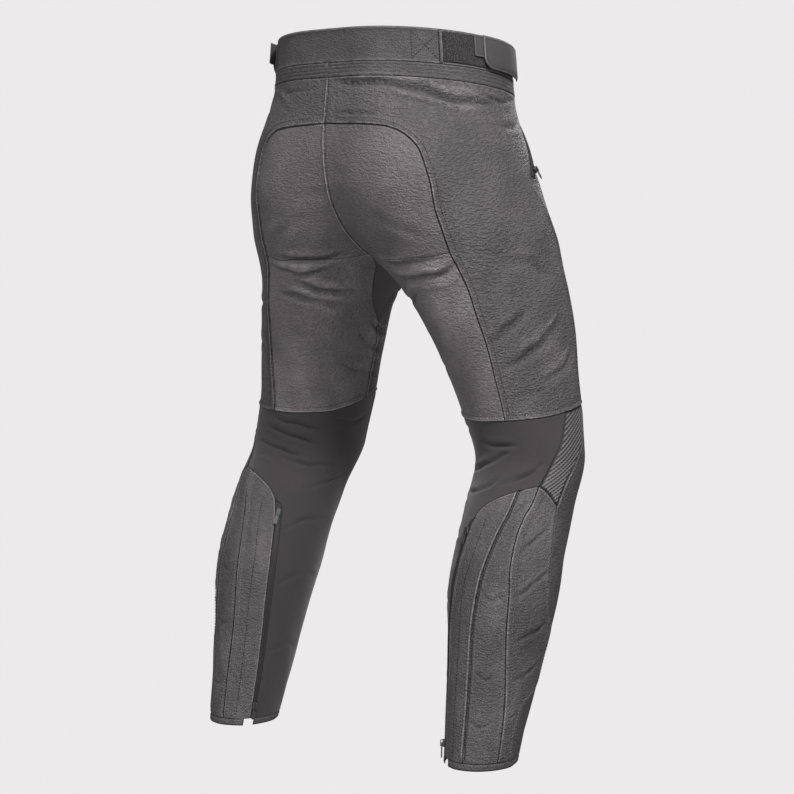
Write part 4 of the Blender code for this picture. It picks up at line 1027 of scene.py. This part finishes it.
def makeGrainGroup():
    tree, given, result = newGroup(
        "leatherGrain", {"Position": None, "Pebble Scale": 620.0, "Wrinkle": 0.5}, ("Height", "Shade"))
    place = given["Position"]
    wobble = addNode(tree, "ShaderNodeTexNoise", {"Vector": place, "Scale": 260.0})["Color"]
    warped = addNode(tree, "ShaderNodeVectorMath", {0: wobble, 1: (0.0016, 0.0016, 0.0016), 2: place},
                     operation="MULTIPLY_ADD")[0]
    cells = addNode(tree, "ShaderNodeTexVoronoi", {"Vector": warped, "Scale": given["Pebble Scale"]},
                    feature="DISTANCE_TO_EDGE")["Distance"]
    pebble = mapRange(tree, cells, 0.0, 0.28)
    lying = addNode(tree, "ShaderNodeMapping", {"Vector": place, "Scale": (1.0, 1.0, 2.1)})["Vector"]
    creases = mapRange(tree, noise(tree, lying, 180.0, 2.0, 0.55), 0.34, 0.64)
    fine = noise(tree, place, 1200.0, 1.0)
    height = plus(tree, times(tree, pebble, 0.46), times(tree, creases, given["Wrinkle"]))
    height = plus(tree, height, times(tree, fine, 0.08))
    link(tree, height, result["Height"])
    link(tree, mapRange(tree, height, 0.15, 1.15, 0.0, 1.0), result["Shade"])
    return tree


def makeWearGroup():
    # edge wear with painted light: lighter rubbed edges, painted highlights on raised edges and fold crests,
    # painted shade along seams and in fold troughs
    tree, given, result = newGroup(
        "edgeWear", {"Position": None, "Gap": 0.02, "Wear": 0.3, "Line": 0.0006, "Fold": 0.0},
        ("Light", "Dark", "Patch"))
    place, fold = given["Position"], given["Fold"]
    # a lighter band just inside each edge: rubbed wear, partly a painted highlight on the raised edge
    patchy = mapRange(tree, noise(tree, place, 95.0, 3.0, 0.6), 0.34, 0.60, 0.30, 1.0)
    past = mathNode(tree, "SUBTRACT", given["Gap"], given["Line"])
    rise = mapRange(tree, past, 0.0, 0.0005)
    fall = mapRange(tree, past, 0.0010, 0.0024, 1.0, 0.0)
    light = times(tree, times(tree, rise, fall), times(tree, patchy, given["Wear"]))
    # painted highlight on the fold crests
    crest = times(tree, mapRange(tree, fold, 0.12, 0.8), 0.5)
    link(tree, plus(tree, light, times(tree, crest, patchy), True), result["Light"])
    # painted shade: a dark line along each seam where the panels meet
    line = mapRange(tree, past, -0.0003, 0.0001, 1.0, 0.0)
    # painted shade in the fold troughs
    trough = mapRange(tree, fold, -1.0, -0.35, 0.40, 0.0)
    link(tree, plus(tree, line, trough, True), result["Dark"])
    link(tree, mapRange(tree, noise(tree, place, 16.0, 4.0, 0.62), 0.3, 0.7), result["Patch"])
    return tree


def makeWeaveGroup():
    tree, given, result = newGroup("stretchWeave", {"Cut": None, "Thread": 0.0012}, ("Height", "Shade"))
    parts = addNode(tree, "ShaderNodeSeparateXYZ", {0: given["Cut"]})
    turns = mathNode(tree, "DIVIDE", 2 * math.pi, given["Thread"])
    x, y = (times(tree, parts[i], turns) for i in (0, 1))
    twill = mathNode(tree, "SINE", plus(tree, x, y))
    weft = mathNode(tree, "SINE", times(tree, y, 2.0))
    height = plus(tree, plus(tree, times(tree, twill, 0.35), times(tree, weft, 0.15)), 0.5)
    for label in ("Height", "Shade"):
        link(tree, height, result[label])
    return tree


grainGroup, wearAndPaintedLightGroup, weaveGroup = makeGrainGroup(), makeWearGroup(), makeWeaveGroup()


def useGroup(tree, group, **values):
    inputs = {label.replace("_", " "): value for label, value in values.items()}
    return addNode(tree, "ShaderNodeGroup", inputs, node_tree=group)


def attributeNode(tree, name):
    return addNode(tree, "ShaderNodeAttribute", attribute_name=name)["Fac"]


def startMaterial(name, look):
    made = bpy.data.materials.new(name)
    made.use_nodes = True
    tree = made.node_tree
    shader = tree.nodes["Principled BSDF"].inputs
    shader["Metallic"].default_value = look.get("metallic", 0.0)
    shader["Specular IOR Level"].default_value = look.get("specular", 0.35)
    shader["Sheen Weight"].default_value = look.get("sheen", 0.0)
    shader["Sheen Roughness"].default_value = 0.5
    return made, tree, shader, tree.nodes.new("ShaderNodeTexCoord").outputs


def finishMaterial(tree, shader, colour, rough, height, strength, distance):
    inputs = {"Strength": strength, "Distance": distance, "Height": height}
    link(tree, colour, shader["Base Color"])
    link(tree, rough, shader["Roughness"])
    link(tree, addNode(tree, "ShaderNodeBump", inputs)[0], shader["Normal"])


def scaled(colour, amount):
    return tuple(min(1.0, part * amount) for part in colour)


def layered(tree, base, colour, layers):
    # each layer mixes in the base colour made lighter or darker
    for factor, amount in layers:
        colour = mixColour(tree, factor, colour, scaled(base, amount))
    return colour


# Leathers: colour, pebble scale, wrinkle, bump, roughness from worn to dull, patchiness
leathers = {
    "seatLeather": ((0.165, 0.151, 0.155), 300.0, 0.70, 0.90, (0.48, 0.66), 0.14),
    # the seat leather made lighter for the thigh under the seat: painted light on the same leather
    "thighLeather": ((0.206, 0.189, 0.195), 290.0, 0.70, 0.90, (0.46, 0.64), 0.16),
    "hipLeather": ((0.126, 0.116, 0.1195), 300.0, 0.95, 1.0, (0.46, 0.64), 0.14),
    "bandLeather": ((0.098, 0.0900, 0.093), 330.0, 0.55, 0.80, (0.44, 0.62), 0.18),
    "calfLeather": ((0.124, 0.1145, 0.118), 310.0, 0.65, 0.90, (0.42, 0.62), 0.20),
    "darkLeather": ((0.100, 0.092, 0.095), 330.0, 0.60, 0.80, (0.48, 0.64), 0.14),
    "ribLeather": ((0.106, 0.098, 0.101), 700.0, 0.30, 0.30, (0.44, 0.60), 0.10),
    "flapLeather": ((0.096, 0.088, 0.091), 760.0, 0.25, 0.22, (0.50, 0.62), 0.08),
}


def makeLeather(name, look):
    base, pebble, wrinkle, bump, (low, high), patch = look
    made, tree, shader, places = startMaterial(name, {})
    place = places["Object"]
    grain = useGroup(tree, grainGroup, Position=place, Pebble_Scale=pebble, Wrinkle=wrinkle)
    gap, edgeWearAndHighlight, dark, fold, relieved = (attributeNode(tree, key) for key in attributeNames)
    wearAndPaintedLight = useGroup(tree, wearAndPaintedLightGroup, Position=place, Gap=gap, Wear=edgeWearAndHighlight, Line=dark, Fold=fold)
    # colour: grain crevices darker, then the lighter edge band (rubbed wear, partly painted highlight) and a
    # painted highlight on fold crests
    layers = [(mapRange(tree, grain["Shade"], 0.0, 0.65, 0.30, 0.0), 0.5),
              (times(tree, wearAndPaintedLight["Light"], 0.75), 2.6)]
    # painted shade in the grooves between the knee ribs, and a painted highlight on the rib tops
    if name == "ribLeather":
        layers += [(mapRange(tree, relieved, 0.0002, 0.0013, 0.95, 0.0), 0.12),
                   (mapRange(tree, relieved, 0.0010, 0.0014, 0.0, 0.8), 2.5)]
    # painted shade along the seams and in the fold troughs
    layers.append((times(tree, wearAndPaintedLight["Dark"], 0.92), 0.10))
    colour = mixColour(tree, wearAndPaintedLight["Patch"], scaled(base, 1 - patch), scaled(base, 1 + patch))
    rough = mathNode(tree, "SUBTRACT", mapRange(tree, grain["Shade"], 0.1, 0.9, high, low),
                     times(tree, wearAndPaintedLight["Light"], 0.06))
    finishMaterial(tree, shader, layered(tree, base, colour, layers), rough, grain["Height"], bump, 0.0012)
    return made


fabrics = {
    "stretchFabric": {"colour": (0.053, 0.0468, 0.0495), "thread": 0.0016, "fuzz": 900.0, "speckle": 0.25,
                      "pile": 0.3, "bump": 0.35, "sheen": 0.25},
    "hookPile": {"colour": (0.017, 0.0157, 0.0162), "thread": 0.0018, "fuzz": 640.0, "speckle": 1.0,
                 "speck": 6.5, "pile": 1.4, "bump": 0.9, "sheen": 0.1},
    "zipTape": {"colour": (0.048, 0.043, 0.045), "thread": 0.0010, "fuzz": 1200.0, "speckle": 0.2,
                "pile": 0.2, "bump": 0.3},
}


def makeFabric(name, look):
    made, tree, shader, places = startMaterial(name, look)
    base = look["colour"]
    weave = useGroup(tree, weaveGroup, Cut=places["UV"], Thread=look["thread"])
    wearAndPaintedLight = useGroup(tree, wearAndPaintedLightGroup, Position=places["Object"], Gap=attributeNode(tree, "gap"),
                    Wear=0.0, Line=attributeNode(tree, "dark"), Fold=attributeNode(tree, "shade"))
    fuzz = noise(tree, places["Object"], look["fuzz"], 3.0, 0.7)
    # painted shade along the seams and in the fold troughs darkens the fabric
    colour = layered(tree, base, mixColour(tree, weave["Shade"], scaled(base, 0.65), scaled(base, 1.35)), (
        (mapRange(tree, fuzz, 0.45, 0.68, 0.0, look["speckle"]), look.get("speck", 2.4)),
        (times(tree, wearAndPaintedLight["Dark"], 0.85), 0.2)))
    height = plus(tree, weave["Height"], times(tree, fuzz, look["pile"]))
    finishMaterial(tree, shader, colour, mapRange(tree, fuzz, 0.2, 0.8, 0.78, 0.94), height,
                   look["bump"], 0.0005)
    return made


sewnThread = {"rough": (0.6, 0.75), "grit": 2600.0, "bump": 0.3}
plains = {
    "gunmetal": {"colour": (0.21, 0.205, 0.205), "metallic": 1.0, "rough": (0.26, 0.42), "grit": 1400.0,
                 "bump": 0.12, "specular": 0.5},
    "zipTeeth": {"colour": (0.075, 0.073, 0.075), "metallic": 0.6, "rough": (0.35, 0.5), "grit": 1200.0,
                 "bump": 0.1, "specular": 0.5},
    "lightThread": sewnThread | {"colour": (0.225, 0.208, 0.214)},
    "softThread": sewnThread | {"colour": (0.034, 0.031, 0.032)},
    "darkThread": sewnThread | {"colour": (0.012, 0.011, 0.0115)},
}


def makePlain(name, look):
    # metal, teeth and thread: a colour that varies finely, with fine wear
    made, tree, shader, places = startMaterial(name, look)
    grit = noise(tree, places["Object"], look["grit"], 3.0, 0.6)
    base = look["colour"]
    colour = mixColour(tree, mapRange(tree, grit, 0.3, 0.7), scaled(base, 0.8), scaled(base, 1.2))
    finishMaterial(tree, shader, colour, mapRange(tree, grit, 0.3, 0.7, *look["rough"]), grit,
                   look["bump"], 0.0002)
    return made


finishes = {name: make(name, look)
            for make, looks in ((makeLeather, leathers), (makeFabric, fabrics), (makePlain, plains))
            for name, look in looks.items()}
print("finishes:", len(finishes))

# The cloth
words = {1: "left", -1: "right"}
# The cloth
words = {1: "left", -1: "right"}
for panelName, look in legPanels.items():
    for side, word in words.items():
        choices = look["runs"] | (look.get("leftRuns", {}) if side > 0 else {})
        sides = {name: (takeRun(name), edgeName) for name, edgeName in choices.items()}
        makeCloth(f"{panelName}_{word}", look, {side: sides})
print("leg panels:", len(clothPieces))
for panelName, look in overlays.items():
    for side, word in words.items():
        makeCloth(f"{panelName}_{word}", look, {side: look["rings"][side]})
makeCloth("fly_flap", flyFlap, {1: flyFlap["ring"]})
for panelName, look in crossing.items():
    makeCloth(panelName, look | {"crosses": True}, look["rings"])
print("cloth pieces:", len(clothPieces))


# Stitches and zip teeth: one small piece repeated along each row
def rowTree(name, rounded):
    tree = bpy.data.node_groups.new(name, "GeometryNodeTree")
    sockets = {}
    for label, kind in (("Geometry", "NodeSocketGeometry"), ("Pitch", "NodeSocketFloat"),
                        ("Size", "NodeSocketVector"), ("Stagger", "NodeSocketFloat"),
                        ("Unevenness", "NodeSocketFloat"), ("Seed", "NodeSocketInt"),
                        ("Material", "NodeSocketMaterial")):
        sockets[label] = tree.interface.new_socket(label, in_out="INPUT", socket_type=kind).identifier
    tree.interface.new_socket("Geometry", in_out="OUTPUT", socket_type="NodeSocketGeometry")
    given, result = tree.nodes.new("NodeGroupInput").outputs, tree.nodes.new("NodeGroupOutput").inputs

    def add(kind, inputs=None, **settings):
        return addNode(tree, kind, inputs, **settings)

    curve = add("GeometryNodeMeshToCurve", {0: given["Geometry"]})[0]
    spaced = add("GeometryNodeResampleCurve", {"Curve": curve, "Length": given["Pitch"]}, mode="LENGTH")[0]
    shape = (add("GeometryNodeMeshUVSphere", {"Segments": 6, "Rings": 4, "Radius": 0.5})[0] if rounded
             else add("GeometryNodeMeshCube", {"Size": (1, 1, 1)})[0])
    outward = add("GeometryNodeInputNamedAttribute", {"Name": "outward"}, data_type="FLOAT_VECTOR")
    upright = add("FunctionNodeAlignRotationToVector", {"Vector": outward["Attribute"]}, axis="Z")[0]
    along = add("GeometryNodeInputTangent")[0]
    turned = add("FunctionNodeAlignRotationToVector", {"Rotation": upright, "Vector": along},
                 axis="X", pivot_axis="Z")[0]
    low, high = (add("ShaderNodeMath", {0: 1.0, 1: given["Unevenness"]}, operation=kind)[0]
                 for kind in ("SUBTRACT", "ADD"))
    uneven = add("FunctionNodeRandomValue", {2: low, 3: high, "Seed": given["Seed"]}, data_type="FLOAT")[1]
    size = add("ShaderNodeVectorMath", {0: given["Size"], "Scale": uneven}, operation="SCALE")[0]
    placed = add("GeometryNodeInstanceOnPoints",
                 {"Points": spaced, "Instance": shape, "Rotation": turned, "Scale": size})[0]
    # every second one moves to the other side of the row
    parity = add("ShaderNodeMath", {0: add("GeometryNodeInputIndex")[0], 1: 2.0}, operation="MODULO")[0]
    double, minus = (times(tree, given["Stagger"], factor) for factor in (2.0, -1.0))
    offset = add("ShaderNodeMath", {0: parity, 1: double, 2: minus}, operation="MULTIPLY_ADD")[0]
    shift = add("ShaderNodeCombineXYZ", {"Y": offset})[0]
    moved = add("GeometryNodeTranslateInstances",
                {"Instances": placed, "Translation": shift, "Local Space": True})[0]
    real = add("GeometryNodeRealizeInstances", {0: moved})[0]
    painted = add("GeometryNodeSetMaterial", {"Geometry": real, "Material": given["Material"]})[0]
    link(tree, painted, result["Geometry"])
    return tree, sockets


stitchTree, toothTree = rowTree("sewnRow", True), rowTree("zipTeeth", False)
stitchTree, toothTree = rowTree("sewnRow", True), rowTree("zipTeeth", False)


def makeRows(name, rows, kind, look, finish):
    tree, sockets = kind
    points, normals, edges = [], [], []
    for at, out in rows:
        start = sum(len(p) for p in points)
        edges += [(start + i, start + i + 1) for i in range(len(at) - 1)]
        points.append(at)
        normals.append(out)
    guide = bpy.data.meshes.new(name + "_guide")
    guide.from_pydata(np.concatenate(points).tolist(), edges, [])
    guide.attributes.new("outward", "FLOAT_VECTOR", "POINT").data.foreach_set(
        "vector", np.concatenate(normals).astype(np.float32).ravel())
    holder = addObject(name + "_guide", guide)
    repeat = holder.modifiers.new("rows", "NODES")
    repeat.node_group = tree
    for label, value in look.items():
        repeat[sockets[label]] = value
    repeat[sockets["Material"]] = finish
    bpy.context.view_layer.update()
    mesh = bpy.data.meshes.new_from_object(holder.evaluated_get(bpy.context.evaluated_depsgraph_get()))
    holder.modifiers.remove(repeat)
    bpy.data.objects.remove(holder)
    mesh.name = name
    if kind is stitchTree:
        mesh.shade_smooth()
    made = addObject(name, mesh)
    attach(made, "root")
    print(name, len(mesh.polygons), "faces")


def onCloth(piece, places, above=0.0001):
    # rows of plan places as points on a piece's surface, with its outward directions
    x, z = places.T
    turns = piece["back"](x, z)
    own = relief(piece, turns, z)
    points = own["base"] + own["normal"] * (piece["lift"] + own["height"] + above)[:, None]
    return points, own["normal"]


def edgeRows(piece):
    owner = np.array(piece["owner"])
    found = []
    for runName, (_, edgeName) in piece["sides"].items():
        offset = edgeLooks[edgeName]["row"]
        if not offset:
            continue
        at = insetOutline(piece["edge"], offset)[owner == runName]
        good = edgeGap(at, piece["edge"]) > offset * 0.88
        for chain in np.split(np.arange(len(at)), np.flatnonzero(np.diff(good.astype(int))) + 1):
            if good[chain[0]] and len(chain) > 3:
                found.append(onCloth(piece, at[chain]))
    return found


def turnedRow(piece, places):
    fine = sampleSeam(places, 0.004) if len(places) > 2 else lineRun(*places)
    return onCloth(piece, np.stack((piece["across"](fine[:, 0], fine[:, 1]), fine[:, 1]), 1))


threadLooks = {
    thread: {"Pitch": pitch, "Size": size, "Stagger": 0.0, "Unevenness": uneven, "Seed": seed}
    for thread, pitch, size, uneven, seed in (
        ("lightThread", 0.0042, (0.0027, 0.0010, 0.0009), 0.12, 3),
        ("softThread", 0.0036, (0.0026, 0.0011, 0.0006), 0.12, 5),
        ("darkThread", 0.0038, (0.0027, 0.0014, 0.0007), 0.10, 9))}
toothLook = {"Pitch": 0.0014, "Size": (0.0010, 0.0026, 0.0012), "Stagger": 0.0006, "Unevenness": 0.0,
             "Seed": 1}
toothLift = 0.0003
lightlySewn = ("calf_back", "calf_outer", "calf_strip", "shin", "hem")
stripMiddle = placesOf((776, 627, 792, 670, 803, 710, 803, 770, 805, 820, 808, 870, 810, 918), 1000)
boxTurns, boxHeights = (0.604, 0.646), (-0.005, -0.040)

for side, word in words.items():
    own = {name: next((p for p in pieces if p["side"] == side), None)
           for name, pieces in clothPieces.items() if not name.endswith(words[-side])}
    gathered = {thread: [] for thread in threadLooks}
    for name in list(legPanels) + list(overlays):
        thread = "lightThread" if name in lightlySewn else "softThread"
        gathered[thread] += edgeRows(own[f"{name}_{word}"])
    gathered["darkThread"].append(turnedRow(own[f"calf_strip_{word}"], stripMiddle))
    back = own["waistband_back"]
    (u0, u1), (z0, z1) = boxTurns, boxHeights
    for corners in (((u0, z0), (u0, z1)), ((u1, z0), (u1, z1)), ((u0, z0), (u1, z1)), ((u0, z1), (u1, z0))):
        gathered["darkThread"].append(turnedRow(back, corners))
    for name in ("waistband_back", "closure_tab", "fly_flap"):
        if own[name]:
            gathered["softThread"] += edgeRows(own[name])
    for thread, rows in gathered.items():
        makeRows(f"{thread}_{word}", rows, stitchTree, threadLooks[thread], finishes[thread])
    # teeth along the middle of each zip
    heights = np.linspace(seams["archInner"][-1][1] - 0.012, hemTopZ + 0.001, 90)
    middle = np.interp(-heights, -runs["calfFabric"][:, 1], runs["calfFabric"][:, 0]) + calfZipTurns / 2
    rows = [onCloth(own[f"{zipName}_{word}"], np.stack((toPlan(side, turns, z), z), 1), toothLift)
            for zipName, turns, z in (("calf_zip", middle, heights), ("pocket_zip", *mouthFine.T))]
    makeRows(f"zip_teeth_{word}", rows, toothTree, toothLook, finishes["zipTeeth"])

# The sliders, pull tabs and snap keep their own shapes
# The sliders, pull tabs and snap keep their own shapes
for node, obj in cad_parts.items():
    if "slider" in node or "pull" in node or node == "waist_snap":
        for slot in obj.material_slots:
            slot.material = finishes["gunmetal"]

# Stage, lights and camera
stageLook = {"drop": 0.055, "flatRadius": 3.2, "radius": 5.5, "height": 4.5, "colour": (0.845, 0.822, 0.838),
             "seen": 1.0, "glow": 0.28}


def makeStage(look):
    profile = [(r, 0.0) for r in np.linspace(0.0, look["flatRadius"], 5)]
    profile += [(look["flatRadius"] + (look["radius"] - look["flatRadius"]) * math.sin(a),
                 look["height"] * (1 - math.cos(a))) for a in np.linspace(0.1, math.pi / 2, 16)]
    shell = bmesh.new()
    previous = None
    for radius, height in profile:
        row = [shell.verts.new((radius * math.cos(a), radius * math.sin(a), hemZ - look["drop"] + height))
               for a in np.linspace(0, 2 * math.pi, 65)[:-1]]
        if previous:
            for i in range(64):
                shell.faces.new((previous[i], previous[(i + 1) % 64], row[(i + 1) % 64], row[i]))
        previous = row
    bmesh.ops.remove_doubles(shell, verts=shell.verts, dist=1e-5)
    mesh = bpy.data.meshes.new("paleSweep")
    shell.to_mesh(mesh)
    shell.free()
    mesh.shade_smooth()
    obj = addObject("pale_sweep", mesh)
    made = bpy.data.materials.new("paleSweep")
    made.use_nodes = True
    tree = made.node_tree
    tree.nodes.clear()
    seen = addNode(tree, "ShaderNodeLightPath")["Is Camera Ray"]
    strength = mapRange(tree, seen, 0.0, 1.0, look["glow"], look["seen"], "LINEAR")
    glow = addNode(tree, "ShaderNodeEmission", {"Color": (*look["colour"], 1), "Strength": strength})[0]
    addNode(tree, "ShaderNodeOutputMaterial", {"Surface": glow})
    mesh.materials.append(made)


makeStage(stageLook)
cameraLook = {"azimuth": 217.0, "elevation": 3.0, "distance": 2.4, "target": (-0.005, 0.0, -0.480),
              "lens": 80.0}


def aim(obj, azimuth, elevation, distance, target=(0, 0, -0.48)):
    a, e = math.radians(azimuth), math.radians(elevation)
    way = Vector((math.sin(a) * math.cos(e), -math.cos(a) * math.cos(e), math.sin(e)))
    obj.location = Vector(target) + way * distance
    obj.rotation_euler = way.to_track_quat("Z", "Y").to_euler()


lightLooks = {      # azimuth, elevation, distance, size, watts
    "key": (241.0, 47.0, 2.6, 0.5, 50.0),
    "fill": (168.0, 20.0, 2.8, 1.4, 8.0),
    "camera side": (204.0, -3.0, 2.9, 1.0, 18.0),
    "front": (20.0, 30.0, 2.9, 1.4, 32.0),
    "top": (217.0, 78.0, 2.6, 1.6, 7.0),
}
for name, (azimuth, elevation, distance, size, watts) in lightLooks.items():
    lamp = bpy.data.lights.new(name, "AREA")
    lamp.shape, lamp.size, lamp.energy = "DISK", size, watts
    aim(addObject(name, lamp), azimuth, elevation, distance)

world = bpy.data.worlds.new("pale")
world.use_nodes = True
world.node_tree.nodes["Background"].inputs[0].default_value = (*stageLook["colour"], 1)
world.node_tree.nodes["Background"].inputs[1].default_value = stageLook["glow"]
bpy.context.scene.world = world

lens = bpy.data.cameras.new("camera")
lens.lens, lens.sensor_width = cameraLook["lens"], 36.0
camera = addObject("camera", lens)
aim(camera, *(cameraLook[key] for key in ("azimuth", "elevation", "distance", "target")))
bpy.context.scene.camera = camera
bpy.context.scene.view_settings.view_transform = "Standard"
